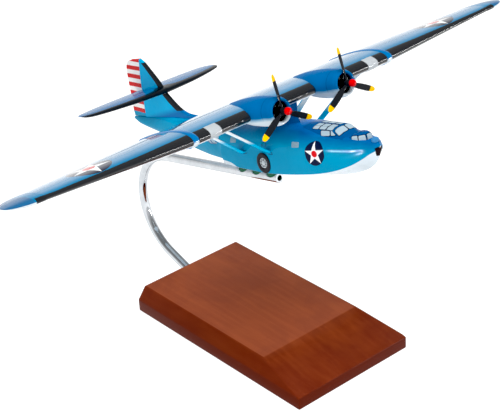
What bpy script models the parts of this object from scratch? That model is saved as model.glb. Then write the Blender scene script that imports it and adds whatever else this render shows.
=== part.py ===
# Desk model of a twin-engined parasol-wing flying boat on a wooden base with a curved chrome arm.
# Run with blender --background --python part.py, or from the text editor.
# Metres, +Z up, nose towards -Y, port wing towards +X. The underside of the base is at z = 0.

import math

import bmesh
import bpy
from mathutils import Vector

MM = 0.001

# Base and stand, in millimetres
BASE_WIDTH = 106.0
BASE_LENGTH = 180.0
BASE_HEIGHT = 19.0
BASE_EDGE_HEIGHT = 9.8
BASE_CHAMFER = 7.2
BASE_SLOPE_LENGTH = 44.6
BASE_CENTRE_Y = -15.28

TUBE_RADIUS = 3.6
TUBE_WALL = 0.8
TUBE_SIDES = 20
BEND_RADIUS = 45.0
BEND_CENTRE_Y = 99.7
BEND_CENTRE_Z = 61.5
LOWER_RUN_ANGLE = 20.0
UPPER_RUN_ANGLE = 12.7
UPPER_RUN_END_Y = -20.2
TUBE_IN_BASE = 16.0
BEND_STEPS = 16
SCALLOPS = (6.8, 22.6, 38.2)
SCALLOP_RADIUS = 8.6
SCALLOP_HEIGHT = 9.4
FELT_START = 3.0
FELT_LENGTH = 45.0
FELT_HALF_TURN = 98.0

# Attitude of the model over its base
MODEL_Y = -59.6
MODEL_Z = 209.2
PITCH = 18.4
GAP = 0.3

# Wing, in the model's own frame: x to port, y aft from the propellers, z up from the thrust line
WING_HALF_SPAN = 220.2
WING_LEADING_EDGE = 18.0
WING_CHORD = 62.5
WING_CHORD_HEIGHT = 0.0
WING_THICKNESS = 0.185
WING_CAMBER = 0.012
JOINT_X = 87.0
JOINT_WIDTH = 4.6
JOINT_HEIGHT = 0.55
TIP_X = 197.0
TIP_CHORD = 35.0
TIP_HEIGHT = 2.8
TIP_RISE = 0.7
OUTER_LEADING_EDGE = ((87.0, 18.0), (120.0, 19.8), (152.0, 21.6), (180.0, 22.8), (200.0, 23.8))
TIP_ROUND_Y = 36.5
LAMP_INNER_X = 66.0
LAMP_OUTER_X = 75.4
LAMP_DEPTH = 6.5
AIRFOIL_POINTS = 11

# Engines and propellers
ENGINE_X = 28.9
COWL_FRONT = 2.6
COWL_OPENING = 7.0
NACELLE_END = 52.0
SHAFT_RADIUS = 0.9
BLADE_RADIUS = 24.8
BLADE_WIDTH = 4.4
BLADE_PHASE = 91.9
HUB_FRONT = 8.6
HUB_RADIUS = 2.65

# Struts and pylon
PYLON_SECTIONS = (
    (-22.0, 22.0, 68.0, 6.4), (-16.5, 23.6, 66.0, 5.8), (-12.0, 24.0, 64.6, 5.4),
    (-7.0, 22.2, 64.0, 5.3), (0.6, 21.2, 65.5, 5.8),
)
FRONT_STRUT_TOP = (58.8, 25.4, -3.7)
FRONT_STRUT_FOOT = (20.4, 40.0, -31.0)
REAR_STRUT_TOP = (55.5, 61.5, -4.0)
REAR_STRUT_FOOT = (19.6, 69.4, -32.4)
STRUT_CHORD = 6.8
STRUT_THICKNESS = 2.4

# Tail
TAIL_HALF_SPAN = 64.2
TAIL_Z = 7.0
TAIL_THICKNESS = 3.8
FIN_THICKNESS = 4.2
RUDDER_FOOT = -11.9
TAILPLANE_FRONT = ((0.0, 158.5), (26.0, 164.0), (44.0, 171.0), (56.0, 178.5), (62.0, 184.5), (64.2, 191.0))
TAILPLANE_BACK = ((0.0, 204.5), (40.0, 203.5), (54.0, 200.0), (60.0, 197.0), (63.0, 194.4), (64.2, 192.0))
FIN_LEADING_EDGE = (
    (-16.0, 133.0), (-13.0, 136.0), (-11.0, 147.0), (-6.9, 155.7), (5.2, 168.3), (13.8, 173.4),
    (24.1, 181.8), (28.8, 186.4), (31.4, 191.5),
)
HINGE_LINE = ((-16.0, 204.2), (-10.3, 203.7), (8.7, 200.2), (19.0, 197.8), (31.4, 193.8))
RUDDER_EDGE = (
    (-12.0, 219.4), (-6.3, 219.0), (3.4, 217.0), (11.4, 215.8), (19.3, 214.4), (26.4, 210.6),
    (30.6, 203.0),
)

# Small pieces on the hull
BLISTER_CENTRE = (14.4, 102.0, -24.2)
BLISTER_RADII = (5.8, 7.5, 3.9)
WHEEL_RADIUS = 7.2
WHEEL_CENTRE = (45.6, -39.2)
SKIN_PIECE = 0.6
SIDES = (("port", 1.0), ("starboard", -1.0))

# Hull stations: distance aft, height of the deck, half width and its height,
# half width and height of the chine, height of the keel, fullness of the shoulder (low is square)
HULL_STATIONS = (
    (-49.6, -31.4, 1.6, -33.4, 1.5, -35.4, -37.0, 0.9),
    (-48.3, -30.1, 3.4, -33.2, 3.1, -35.9, -39.4, 0.92),
    (-45.5, -28.9, 6.4, -33.6, 6.0, -37.0, -42.6, 0.94),
    (-42.0, -27.9, 9.0, -34.4, 8.9, -38.9, -45.5, 0.94),
    (-34.0, -26.1, 12.5, -35.6, 12.9, -42.1, -49.2, 0.93),
    (-22.0, -24.2, 16.0, -35.4, 17.0, -44.7, -52.0, 0.84),
    (-8.0, -22.3, 18.7, -34.6, 19.5, -46.1, -53.6, 0.74),
    (8.0, -18.6, 19.7, -32.6, 20.8, -46.7, -54.4, 0.8),
    (30.0, -17.0, 20.0, -31.0, 21.2, -46.9, -54.9, 0.86),
    (50.0, -16.8, 19.8, -29.8, 21.0, -46.2, -55.0, 0.86),
    (60.0, -16.6, 19.5, -29.4, 20.6, -45.2, -54.8, 0.86),
    (78.0, -16.4, 18.8, -28.6, 19.6, -43.6, -53.2, 0.86),
    (94.6, -15.9, 17.7, -27.7, 18.4, -41.3, -50.8, 0.86),
)
AFTERBODY_STATIONS = (
    (95.2, -15.9, 17.5, -27.6, 16.9, -38.9, -47.8, 0.86),
    (118.0, -15.0, 15.0, -26.2, 13.0, -36.9, -44.0, 0.86),
    (140.0, -14.2, 12.2, -24.6, 9.4, -33.4, -39.2, 0.86),
    (165.0, -13.2, 9.0, -22.0, 6.0, -28.2, -32.6, 0.86),
    (192.0, -12.4, 5.8, -18.6, 3.8, -22.4, -25.4, 0.86),
    (210.0, -12.2, 3.6, -15.8, 2.4, -17.8, -19.4, 0.86),
    (219.4, -12.2, 1.2, -13.0, 0.9, -13.8, -14.4, 0.86),
)
FOREBODY_RINGS = 22
AFTERBODY_RINGS = 16

for existing in list(bpy.data.objects):
    bpy.data.objects.remove(existing, do_unlink=True)

parts = bpy.data.collections.new("flying_boat_desk_model")
bpy.context.scene.collection.children.link(parts)
guides = bpy.data.collections.new("cutters")
bpy.context.scene.collection.children.link(guides)


def material(name, color, roughness, metallic=0.0):
    made = bpy.data.materials.get(name)
    if made is None:
        made = bpy.data.materials.new(name)
        made.use_nodes = True
        shader = made.node_tree.nodes["Principled BSDF"]
        shader.inputs["Base Color"].default_value = (*color, 1.0)
        shader.inputs["Roughness"].default_value = roughness
        shader.inputs["Metallic"].default_value = metallic
    return made


def mahogany():
    return material("mahogany", (0.19, 0.055, 0.025), 0.35)


def chrome():
    return material("chrome", (0.8, 0.82, 0.84), 0.12, 1.0)


def felt():
    return material("green_felt", (0.01, 0.12, 0.07), 0.95)


def blue_paint():
    return material("blue_gloss_paint", (0.0, 0.22, 0.5), 0.15)


def silver_paint():
    return material("silver_paint", (0.6, 0.63, 0.65), 0.3)


def black_paint():
    return material("black_paint", (0.015, 0.015, 0.017), 0.3)


def tail_stripes():
    return material("rudder_paint", (0.75, 0.2, 0.15), 0.25)


def finish(obj, look, smooth_angle=35.0):
    obj.data.materials.clear()
    obj.data.materials.append(look)
    obj.data.shade_smooth()
    obj.data.set_sharp_from_angle(angle=math.radians(smooth_angle))
    return obj


def mesh_object(name, bm, look, parent, smooth_angle=35.0, collection=None):
    bmesh.ops.recalc_face_normals(bm, faces=bm.faces)
    data = bpy.data.meshes.new(name)
    bm.to_mesh(data)
    bm.free()
    obj = bpy.data.objects.new(name, data)
    (collection or parts).objects.link(obj)
    obj.parent = parent
    return finish(obj, look, smooth_angle)


def loft(name, rings, look, parent, smooth_angle=35.0, collection=None):
    # closes a run of equal rings with one face at each end
    bm = bmesh.new()
    rows = [[bm.verts.new(Vector(point) * MM) for point in ring] for ring in rings]
    count = len(rings[0])
    for low, high in zip(rows, rows[1:]):
        for i in range(count):
            j = (i + 1) % count
            bm.faces.new((low[i], low[j], high[j], high[i]))
    bm.faces.new(reversed(rows[0]))
    bm.faces.new(rows[-1])
    return mesh_object(name, bm, look, parent, smooth_angle, collection)


def cutter(obj):
    obj.hide_render = True
    obj.display_type = "WIRE"
    for collection in list(obj.users_collection):
        collection.objects.unlink(obj)
    guides.objects.link(obj)
    return obj


def boolean(obj, tool, operation="DIFFERENCE"):
    step = obj.modifiers.new("cut_" + tool.name, "BOOLEAN")
    step.operation = operation
    step.solver = "EXACT"
    step.object = tool
    return step


def through(points, value):
    # smooth curve through a few (position, amount) points
    if value <= points[0][0]:
        return points[0][1]
    for k in range(len(points) - 1):
        x0, y0 = points[k]
        x1, y1 = points[k + 1]
        if value <= x1:
            before = points[max(k - 1, 0)]
            after = points[min(k + 2, len(points) - 1)]
            slope0 = (y1 - before[1]) / (x1 - before[0])
            slope1 = (after[1] - y0) / (after[0] - x0)
            t = (value - x0) / (x1 - x0)
            h = x1 - x0
            return (
                (2 * t**3 - 3 * t**2 + 1) * y0
                + (t**3 - 2 * t**2 + t) * h * slope0
                + (-2 * t**3 + 3 * t**2) * y1
                + (t**3 - t**2) * h * slope1
            )
    return points[-1][1]


def empty(name, location, parent=None):
    obj = bpy.data.objects.new(name, None)
    guides.objects.link(obj)
    obj.location = Vector(location) * MM
    obj.parent = parent
    return obj


stand_frame = empty("stand_frame", (0.0, BASE_CENTRE_Y, 0.0))
model_frame = empty("model_frame", (0.0, MODEL_Y, MODEL_Z), stand_frame)
model_frame.rotation_euler.x = -math.radians(PITCH)


# Guides that other pieces are trimmed by: the hull and the wing, each grown by a clearance
def hull_ring(station, grow):
    y, deck, half, half_z, chine, chine_z, keel, fullness = station
    deck += grow
    half += grow
    chine += grow
    keel -= grow * 1.1
    side = [(0.0, y, deck)]
    for degrees in (14, 28, 42, 56, 72, 90):
        t = math.radians(degrees)
        x = half * math.sin(t) ** fullness
        z = half_z + (deck - half_z) * max(math.cos(t), 0.0) ** fullness
        side.append((x, y, z))
    for part in (0.35, 0.7):
        x = half + (chine - half) * part + 0.5 * math.sin(math.pi * part)
        side.append((x, y, half_z + (chine_z - half_z) * part))
    side.append((chine, y, chine_z))
    keel_point = (0.0, y, keel)
    other = [(-x, yy, z) for x, yy, z in reversed(side[1:])]
    return side + [keel_point] + other


def stations(table, count):
    # more stations, read off smooth curves through the given ones
    start = table[0][0]
    length = table[-1][0] - start
    made = []
    for k in range(count + 1):
        t = k / count
        y = start + length * (0.5 * t + 0.5 * t * t)
        if start > 0.0:
            y = start + length * (1.5 * t - 0.5 * t * t)
        row = [y]
        for column in range(1, 8):
            row.append(through([(line[0], line[column]) for line in table], y))
        made.append(tuple(row))
    return made


def hull_loft(name, grow=0.0, collection=None):
    rings = []
    for station in stations(HULL_STATIONS, FOREBODY_RINGS):
        rings.append(hull_ring(station, grow))
    for station in stations(AFTERBODY_STATIONS, AFTERBODY_RINGS):
        rings.append(hull_ring(station, grow))
    if grow:
        rings[0] = [(x, y - grow, z) for x, y, z in rings[0]]
        rings[-1] = [(x, y + grow, z) for x, y, z in rings[-1]]
    return loft(name, rings, blue_paint(), model_frame, 30.0, collection)


def airfoil(chord, lead, height, thickness, grow=0.0, camber=WING_CAMBER, points=AIRFOIL_POINTS):
    # section round from the trailing edge over the top to the leading edge and back below
    top = []
    bottom = []
    for k in range(points + 1):
        c = 0.5 * (1.0 - math.cos(math.pi * k / points))
        half = 5 * thickness * (
            0.2969 * math.sqrt(c) - 0.126 * c - 0.3516 * c**2 + 0.2843 * c**3 - 0.0985 * c**4
        )
        mean = 4 * camber * c * (1.0 - c)
        y = lead + c * chord
        ahead = -grow * math.cos(math.pi * c)
        top.append((y + ahead, height + (mean + half) * chord + grow))
        bottom.append((y + ahead, height + (mean - half) * chord - grow))
    top[0] = (lead - grow, height)
    return list(reversed(top)) + bottom[1:]


def wing_place(x):
    # leading edge, chord and height of the wing at a distance from the middle
    out = abs(x)
    if out <= JOINT_X:
        return WING_LEADING_EDGE, WING_CHORD, WING_CHORD_HEIGHT
    t = (out - JOINT_X) / (TIP_X - JOINT_X)
    lead = through(OUTER_LEADING_EDGE, out)
    back = WING_LEADING_EDGE + WING_CHORD
    tip_back = through(OUTER_LEADING_EDGE, TIP_X) + TIP_CHORD
    return lead, back + (tip_back - back) * t - lead, WING_CHORD_HEIGHT + TIP_HEIGHT * t


def wing_ring(x, grow=0.0):
    lead, chord, height = wing_place(x)
    thin = WING_THICKNESS * (1.0 - 0.2 * max(0.0, abs(x) - JOINT_X) / (TIP_X - JOINT_X))
    return [(x, y, z) for y, z in airfoil(chord, lead, height, thin, grow)]


def box(name, low, high, parent):
    bm = bmesh.new()
    bmesh.ops.create_cube(bm, size=1.0)
    for vert in bm.verts:
        vert.co = Vector([c * (b - a) * MM for c, a, b in zip(vert.co, low, high)])
    data = bpy.data.meshes.new(name)
    bm.to_mesh(data)
    bm.free()
    obj = bpy.data.objects.new(name, data)
    parts.objects.link(obj)
    obj.location = [(a + b) / 2 * MM for a, b in zip(low, high)]
    obj.parent = parent
    return obj


def turned(name, profile, look, parent, location, steps=24, smooth_angle=35.0):
    # profile of (radius, distance along the axis), turned about the model's fore and aft line
    bm = bmesh.new()
    verts = [bm.verts.new((r * MM, 0.0, d * MM)) for r, d in profile]
    for a, b in zip(verts, verts[1:]):
        bm.edges.new((a, b))
    data = bpy.data.meshes.new(name)
    bm.to_mesh(data)
    bm.free()
    obj = bpy.data.objects.new(name, data)
    parts.objects.link(obj)
    spin = obj.modifiers.new("turn", "SCREW")
    spin.steps = steps
    spin.render_steps = steps
    spin.use_merge_vertices = True
    spin.merge_threshold = 0.00002
    obj.parent = parent
    obj.location = Vector(location) * MM
    obj.rotation_euler.x = math.radians(90.0)
    return finish(obj, look, smooth_angle)


hull_clearance = cutter(hull_loft("hull_clearance", GAP))
hull_outer_skin = cutter(hull_loft("hull_outer_skin", GAP + SKIN_PIECE))
wing_clearance = cutter(
    loft(
        "wing_clearance",
        [wing_ring(x, GAP) for x in (-JOINT_X, JOINT_X)],
        blue_paint(),
        model_frame,
    )
)


# Wooden base with chamfered long sides and a sloping front for the name plate
def build_base():
    half = BASE_WIDTH / 2
    top = half - BASE_CHAMFER
    outline = (
        (-half, 0.0),
        (half, 0.0),
        (half, BASE_EDGE_HEIGHT),
        (top, BASE_HEIGHT),
        (-top, BASE_HEIGHT),
        (-half, BASE_EDGE_HEIGHT),
    )
    ends = (-BASE_LENGTH / 2, BASE_LENGTH / 2)
    rings = [[(x, y, z) for x, z in outline] for y in ends]
    base = loft("base_block", rings, mahogany(), stand_frame, 20.0)
    angle = math.atan2(BASE_HEIGHT - BASE_EDGE_HEIGHT, BASE_SLOPE_LENGTH)
    depth = 40.0
    slope = box(
        "front_slope_cutter",
        (-BASE_WIDTH, -1.5 * BASE_SLOPE_LENGTH, -depth / 2),
        (BASE_WIDTH, 1.5 * BASE_SLOPE_LENGTH, depth / 2),
        stand_frame,
    )
    slope.rotation_euler.x = angle
    normal = Vector((0.0, -math.sin(angle), math.cos(angle)))
    foot = Vector((0.0, -BASE_LENGTH / 2, BASE_EDGE_HEIGHT))
    slope.location = (foot + normal * depth / 2) * MM
    boolean(base, cutter(slope))
    points = arm_path()
    back = (points[1] - points[0]).normalized() * 2 * GAP
    bore = swept("arm_bore_cutter", [points[0] - back, points[1]], TUBE_RADIUS + GAP, 24, True)
    boolean(base, cutter(bore))
    rounding = base.modifiers.new("soft_edges", "BEVEL")
    rounding.width = 0.7 * MM
    rounding.segments = 2
    rounding.limit_method = "ANGLE"
    rounding.angle_limit = math.radians(25.0)


# Chrome arm: a straight run out of the base, one round bend, a straight run up to the keel
def arm_path():
    low = math.radians(LOWER_RUN_ANGLE)
    up = math.radians(UPPER_RUN_ANGLE)
    centre = Vector((0.0, BEND_CENTRE_Y, BEND_CENTRE_Z))
    points = []
    for k in range(BEND_STEPS + 1):
        angle = low + (math.pi - up - low) * k / BEND_STEPS
        points.append(centre + Vector((0.0, math.sin(angle), -math.cos(angle))) * BEND_RADIUS)
    back = points[0].y - (BASE_LENGTH / 2 - TUBE_IN_BASE)
    points.insert(0, points[0] - Vector((0.0, 1.0, math.tan(low))) * back)
    ahead = points[-1].y - UPPER_RUN_END_Y
    points.append(points[-1] + Vector((0.0, -1.0, math.tan(up))) * ahead)
    return points


def swept(name, points, radius, sides, caps):
    curve = bpy.data.curves.new(name, "CURVE")
    curve.dimensions = "3D"
    spline = curve.splines.new("POLY")
    spline.points.add(len(points) - 1)
    for slot, point in zip(spline.points, points):
        slot.co = (*(Vector(point) * MM), 1.0)
    curve.bevel_depth = radius * MM
    curve.bevel_resolution = sides // 2 - 2
    curve.use_fill_caps = caps
    source = bpy.data.objects.new(name, curve)
    parts.objects.link(source)
    bpy.context.view_layer.update()
    evaluated = source.evaluated_get(bpy.context.evaluated_depsgraph_get())
    data = bpy.data.meshes.new_from_object(evaluated)
    bpy.data.objects.remove(source, do_unlink=True)
    bm = bmesh.new()
    bm.from_mesh(data)
    bmesh.ops.remove_doubles(bm, verts=bm.verts, dist=0.00002)
    bmesh.ops.recalc_face_normals(bm, faces=bm.faces)
    bm.to_mesh(data)
    bm.free()
    solid = bpy.data.objects.new(name, data)
    parts.objects.link(solid)
    solid.parent = stand_frame
    return solid


def upper_run_point(from_end, above=0.0):
    # point on the arm's last straight run, measured back from its open end
    up = math.radians(UPPER_RUN_ANGLE)
    end = arm_path()[-1]
    along = Vector((0.0, math.cos(up), -math.sin(up)))
    normal = Vector((0.0, math.sin(up), math.cos(up)))
    return end + along * from_end + normal * above


def build_arm():
    arm = swept("stand_arm", arm_path(), TUBE_RADIUS, TUBE_SIDES, False)
    finish(arm, chrome(), 60.0)
    wall = arm.modifiers.new("wall", "SOLIDIFY")
    wall.thickness = TUBE_WALL * MM
    wall.offset = -1.0
    boolean(arm, hull_clearance)
    for k, distance in enumerate(SCALLOPS):
        middle = upper_run_point(distance, SCALLOP_HEIGHT)
        bpy.ops.mesh.primitive_cylinder_add(vertices=20, radius=SCALLOP_RADIUS * MM, depth=0.012)
        notch = bpy.context.object
        notch.name = f"scallop_cutter_{k}"
        notch.rotation_euler.y = math.radians(90.0)
        notch.location = middle * MM
        notch.parent = stand_frame
        boolean(arm, cutter(notch))


def build_felt():
    # half-round pad in the open top of the tube that the keel lies on
    radius = TUBE_RADIUS - TUBE_WALL - GAP
    rings = []
    for distance in (FELT_START, FELT_START + FELT_LENGTH):
        ring = []
        for k in range(11):
            a = math.radians(FELT_HALF_TURN) * (1.0 - k / 5.0)
            across = Vector((radius * math.sin(a), 0.0, 0.0))
            ring.append(upper_run_point(distance, radius * math.cos(a)) + across)
        rings.append(ring)
    pad = loft("keel_felt", rings, felt(), stand_frame, 60.0)
    boolean(pad, hull_clearance)


# Hull, glazing and the small pieces on it
def build_hull():
    hull_loft("hull")


def build_turret():
    rings = []
    slope = 0.04
    for z, plan in (
        (-33.0, ((2.5, -43.3), (5.9, -37.7), (6.9, -33.0), (7.2, -29.0))),
        (-25.6, ((2.2, -43.0), (5.2, -37.5), (6.2, -33.0), (6.5, -29.0))),
        (-23.9, ((1.7, -42.2), (4.2, -37.1), (5.3, -33.0), (5.8, -29.4))),
    ):
        ring = list(plan) + [(-x, y) for x, y in reversed(plan)]
        rings.append([(x, y, z + slope * (y - plan[0][1])) for x, y in ring])
    turret = loft("bow_turret", rings, blue_paint(), model_frame, 20.0)
    boolean(turret, hull_clearance)


def build_canopy():
    # windshield, roof and side panes as one glazed block
    sections = (
        (-29.4, -25.2, 6.6, 1.7, 9.4),
        (-25.2, -22.3, 7.2, 1.7, 10.2),
        (-20.8, -19.3, 7.0, 1.5, 11.0),
        (-8.0, -18.2, 7.8, 1.7, 12.4),
        (4.0, -17.5, 8.4, 1.9, 13.4),
        (12.0, -17.3, 8.4, 1.9, 13.8),
    )
    sweep = 1.2
    rings = []
    for y, roof, shoulder, drop, foot in sections:
        half = [(0.0, roof), (shoulder * 0.62, roof - 0.25 * drop), (shoulder, roof - drop), (foot, -27.0)]
        ring = half + [(0.0, -31.0)] + [(-x, z) for x, z in reversed(half[1:])]
        back = sweep if y < -15.0 else 0.0
        rings.append([(x, y + back * (x / shoulder) ** 2, z) for x, z in ring])
    canopy = loft("cockpit_canopy", rings, blue_paint(), model_frame, 20.0)
    boolean(canopy, hull_clearance)


def build_bow_pieces():
    outline = ((-1.7, -40.0), (1.7, -40.0), (3.7, -34.2), (-3.7, -34.2))
    rings = [[(x, y, z) for x, z in outline] for y in (-54.0, -41.6)]
    window = loft("bow_window", rings, black_paint(), model_frame)
    boolean(window, hull_outer_skin, "INTERSECT")
    boolean(window, hull_clearance)
    cap = ellipsoid("bow_cap", (0.0, -47.4, -29.2), (2.9, 2.4, 2.1), blue_paint())
    boolean(cap, hull_clearance)


def parts_link(obj):
    for collection in list(obj.users_collection):
        collection.objects.unlink(obj)
    parts.objects.link(obj)


def ellipsoid(name, centre, radii, look, segments=20, rings=12):
    bm = bmesh.new()
    bmesh.ops.create_uvsphere(bm, u_segments=segments, v_segments=rings, radius=1.0)
    for vert in bm.verts:
        vert.co = Vector([a * r * MM for a, r in zip(vert.co, radii)])
    obj = mesh_object(name, bm, look, model_frame)
    obj.location = Vector(centre) * MM
    return obj


def build_blister(side, sign):
    blister = ellipsoid(
        "waist_blister_" + side,
        (sign * BLISTER_CENTRE[0], BLISTER_CENTRE[1], BLISTER_CENTRE[2]),
        BLISTER_RADII,
        silver_paint(),
    )
    boolean(blister, hull_clearance)


def build_wheel(side, sign):
    bpy.ops.mesh.primitive_cylinder_add(vertices=32, radius=WHEEL_RADIUS * MM, depth=0.012)
    disc = bpy.context.object
    disc.name = "wheel_disc_" + side
    disc.rotation_euler.y = math.radians(90.0)
    disc.location = Vector((sign * 20.0, WHEEL_CENTRE[0], WHEEL_CENTRE[1])) * MM
    disc.parent = model_frame
    parts_link(disc)
    finish(disc, black_paint())
    boolean(disc, hull_outer_skin, "INTERSECT")
    boolean(disc, hull_clearance)


# Wing: centre panel, joint bands, outer panels, tips with the folded floats, landing lamps
def build_wing():
    inner = JOINT_X - JOINT_WIDTH / 2 - GAP
    centre = loft(
        "wing_centre",
        [wing_ring(-inner), wing_ring(inner)],
        blue_paint(),
        model_frame,
        25.0,
    )
    for side, sign in SIDES:
        lamp_low = (LAMP_INNER_X, WING_LEADING_EDGE - 4.0, -12.0)
        lamp_high = (LAMP_OUTER_X, WING_LEADING_EDGE + LAMP_DEPTH, 12.0)
        recess = mirrored_box("lamp_recess_" + side, lamp_low, lamp_high, sign, GAP)
        boolean(centre, cutter(recess))
        lamp = loft(
            "landing_lamp_" + side,
            [wing_ring(sign * LAMP_INNER_X), wing_ring(sign * LAMP_OUTER_X)],
            silver_paint(),
            model_frame,
            25.0,
        )
        keep = mirrored_box("lamp_block_" + side, lamp_low, lamp_high, sign, 0.0)
        boolean(lamp, cutter(keep), "INTERSECT")
        ends = (JOINT_X - JOINT_WIDTH / 2, JOINT_X + JOINT_WIDTH / 2)
        loft(
            "joint_band_" + side,
            [band_ring(sign * x) for x in ends],
            blue_paint(),
            model_frame,
            25.0,
        )
        start = JOINT_X + JOINT_WIDTH / 2 + GAP
        span = TIP_X - start
        loft(
            "wing_outer_" + side,
            [wing_ring(sign * (start + span * k / 6)) for k in range(7)],
            blue_paint(),
            model_frame,
            25.0,
        )
        build_tip(side, sign)


def band_ring(x):
    lead, chord, height = wing_place(JOINT_X)
    section = airfoil(chord, lead, height, WING_THICKNESS, JOINT_HEIGHT)
    return [(x, y, z) for y, z in section]


def mirrored_box(name, low, high, sign, grow):
    xs = sorted((sign * (low[0] - grow), sign * (high[0] + grow)))
    return box(
        name,
        (xs[0], low[1], low[2]),
        (xs[1], high[1] + grow, high[2]),
        model_frame,
    )


def build_tip(side, sign):
    # the float folded up against the wing forms the rounded tip
    start = TIP_X + GAP
    lead, chord, height = wing_place(TIP_X)
    rings = []
    steps = 8
    for k in range(steps + 1):
        t = math.sin(math.pi / 2 * k / steps * 0.985)
        x = start + (WING_HALF_SPAN - start) * t
        shrink = math.sqrt(max(1.0 - t**2.2, 0.0))
        front = TIP_ROUND_Y - (TIP_ROUND_Y - lead + 0.8) * shrink
        back = TIP_ROUND_Y + (lead + chord - TIP_ROUND_Y) * shrink
        thickness = 0.19 * (0.45 + 0.55 * shrink)
        section = airfoil(back - front, front, height + TIP_RISE * t * t, thickness, camber=0.01)
        rings.append([(sign * x, y, z) for y, z in section])
    loft("tip_float_" + side, rings, blue_paint(), model_frame, 25.0)


# Pylon and struts that carry the wing over the hull
def oval(centre_y, half_length, half_width, z, points=16):
    ring = []
    for k in range(points):
        a = 2 * math.pi * k / points
        ring.append((half_width * math.sin(a), centre_y - half_length * math.cos(a), z))
    return ring


def build_pylon():
    rings = []
    for z, front, back, half_width in PYLON_SECTIONS:
        rings.append(oval((front + back) / 2, (back - front) / 2, half_width, z))
    pylon = loft("wing_pylon", rings, blue_paint(), model_frame, 40.0)
    boolean(pylon, hull_clearance)
    boolean(pylon, wing_clearance)


def build_strut(name, foot, top, sign):
    rings = []
    along = Vector(top) - Vector(foot)
    for x, y, z in (Vector(foot) - along * 0.08, Vector(top) + along * 0.1):
        ring = []
        for k in range(12):
            a = 2 * math.pi * k / 12
            ring.append(
                (
                    sign * (x + STRUT_THICKNESS / 2 * math.sin(a) * 0.5),
                    y - STRUT_CHORD / 2 * math.cos(a),
                    z + STRUT_THICKNESS / 2 * math.sin(a),
                )
            )
        rings.append(ring)
    strut = loft(name, rings, blue_paint(), model_frame, 60.0)
    boolean(strut, hull_clearance)
    boolean(strut, wing_clearance)


# Engines, nacelles and propellers
def build_nacelle(side, sign):
    profile = (
        (COWL_FRONT, 8.4, 8.4, -8.4),
        (COWL_FRONT + 0.7, 9.1, 9.1, -9.1),
        (COWL_FRONT + 2.4, 9.6, 9.6, -9.6),
        (9.0, 10.2, 9.8, -9.8),
        (14.0, 11.6, 9.9, -9.7),
        (18.0, 12.9, 9.9, -9.5),
        (24.0, 13.4, 9.8, -8.9),
        (34.0, 12.0, 9.2, -7.4),
        (43.0, 9.0, 8.0, -5.4),
        (NACELLE_END, 4.0, 6.2, -3.4),
    )
    rings = []
    for y, half, top, bottom in profile:
        ring = []
        for k in range(24):
            a = 2 * math.pi * k / 24
            z = (top + bottom) / 2 + (top - bottom) / 2 * math.cos(a)
            ring.append((sign * ENGINE_X + half * math.sin(a), y, z))
        rings.append(ring)
    nacelle = loft("nacelle_" + side, rings, blue_paint(), model_frame, 40.0)
    boolean(nacelle, wing_clearance)
    bpy.ops.mesh.primitive_cylinder_add(vertices=32, radius=COWL_OPENING * MM, depth=0.014)
    mouth = bpy.context.object
    mouth.name = "cowl_mouth_" + side
    mouth.rotation_euler.x = math.radians(90.0)
    mouth.location = Vector((sign * ENGINE_X, COWL_FRONT, 0.0)) * MM
    mouth.parent = model_frame
    boolean(nacelle, cutter(mouth))


def build_engine(side, sign):
    # engine face and the fixed shaft that the propeller turns on
    back = -(COWL_FRONT + 7.0 - GAP)
    face = -(COWL_FRONT + 4.2)
    case = -(COWL_FRONT + 0.6)
    profile = (
        (0.0, 2.2),
        (SHAFT_RADIUS, 2.2),
        (SHAFT_RADIUS, case),
        (2.2, case),
        (2.8, case - 1.2),
        (3.2, face),
        (COWL_OPENING - GAP, face),
        (COWL_OPENING - GAP, back),
        (0.0, back),
    )
    turned("engine_" + side, profile, black_paint(), model_frame, (sign * ENGINE_X, 0.0, 0.0), 24, 30.0)


def blade_ring(distance, chord, thickness, twist):
    # section of a blade standing on +Z, its width across X and its thickness along Y
    a = math.radians(twist)
    ring = []
    for k in range(10):
        t = 2 * math.pi * k / 10
        across = chord / 2 * math.cos(t)
        along = thickness / 2 * math.sin(t)
        ring.append(
            (
                across * math.cos(a) - along * math.sin(a),
                across * math.sin(a) + along * math.cos(a),
                distance,
            )
        )
    return ring


def build_propeller(side, sign):
    hub_back = -(COWL_FRONT - 1.6)
    bore = SHAFT_RADIUS + GAP
    profile = (
        (0.0, HUB_FRONT),
        (1.0, HUB_FRONT - 0.25),
        (1.8, HUB_FRONT - 1.0),
        (2.35, HUB_FRONT - 2.2),
        (HUB_RADIUS, HUB_FRONT - 3.8),
        (HUB_RADIUS, hub_back + 0.8),
        (2.4, hub_back),
        (bore, hub_back),
        (bore, 2.2 + GAP),
        (0.0, 2.2 + GAP),
    )
    place = (sign * ENGINE_X, 0.0, 0.0)
    hub = turned("propeller_" + side, profile, black_paint(), model_frame, place, 24, 35.0)
    for k in range(3):
        outline = (
            (1.6, 1.9, 1.7, 50.0),
            (4.5, 2.2, 1.5, 42.0),
            (8.0, 3.9, 1.1, 34.0),
            (14.0, BLADE_WIDTH, 0.9, 27.0),
            (19.0, 4.2, 0.75, 23.0),
            (22.4, 3.6, 0.65, 21.0),
            (24.1, 2.4, 0.55, 20.0),
            (BLADE_RADIUS, 0.9, 0.45, 20.0),
        )
        rings = [blade_ring(*row) for row in outline]
        blade = loft(f"blade_{side}_{k}", rings, black_paint(), model_frame, 50.0)
        blade.location = Vector(place) * MM
        blade.rotation_euler.y = math.radians(90.0 - BLADE_PHASE - 120.0 * k)
        boolean(hub, cutter(blade), "UNION")


# Tail
def fin_section(z, front, back, thickness, points=7):
    ring = []
    for k in range(points + 1):
        t = k / points
        half = thickness / 2 * (1.0 - (1.0 - t) ** 3) ** 0.6
        ring.append((half, front + (back - front) * t * t, z))
    ring[0] = (0.0, front, z)
    return ring + [(-x, y, zz) for x, y, zz in reversed(ring[1:])]


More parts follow.
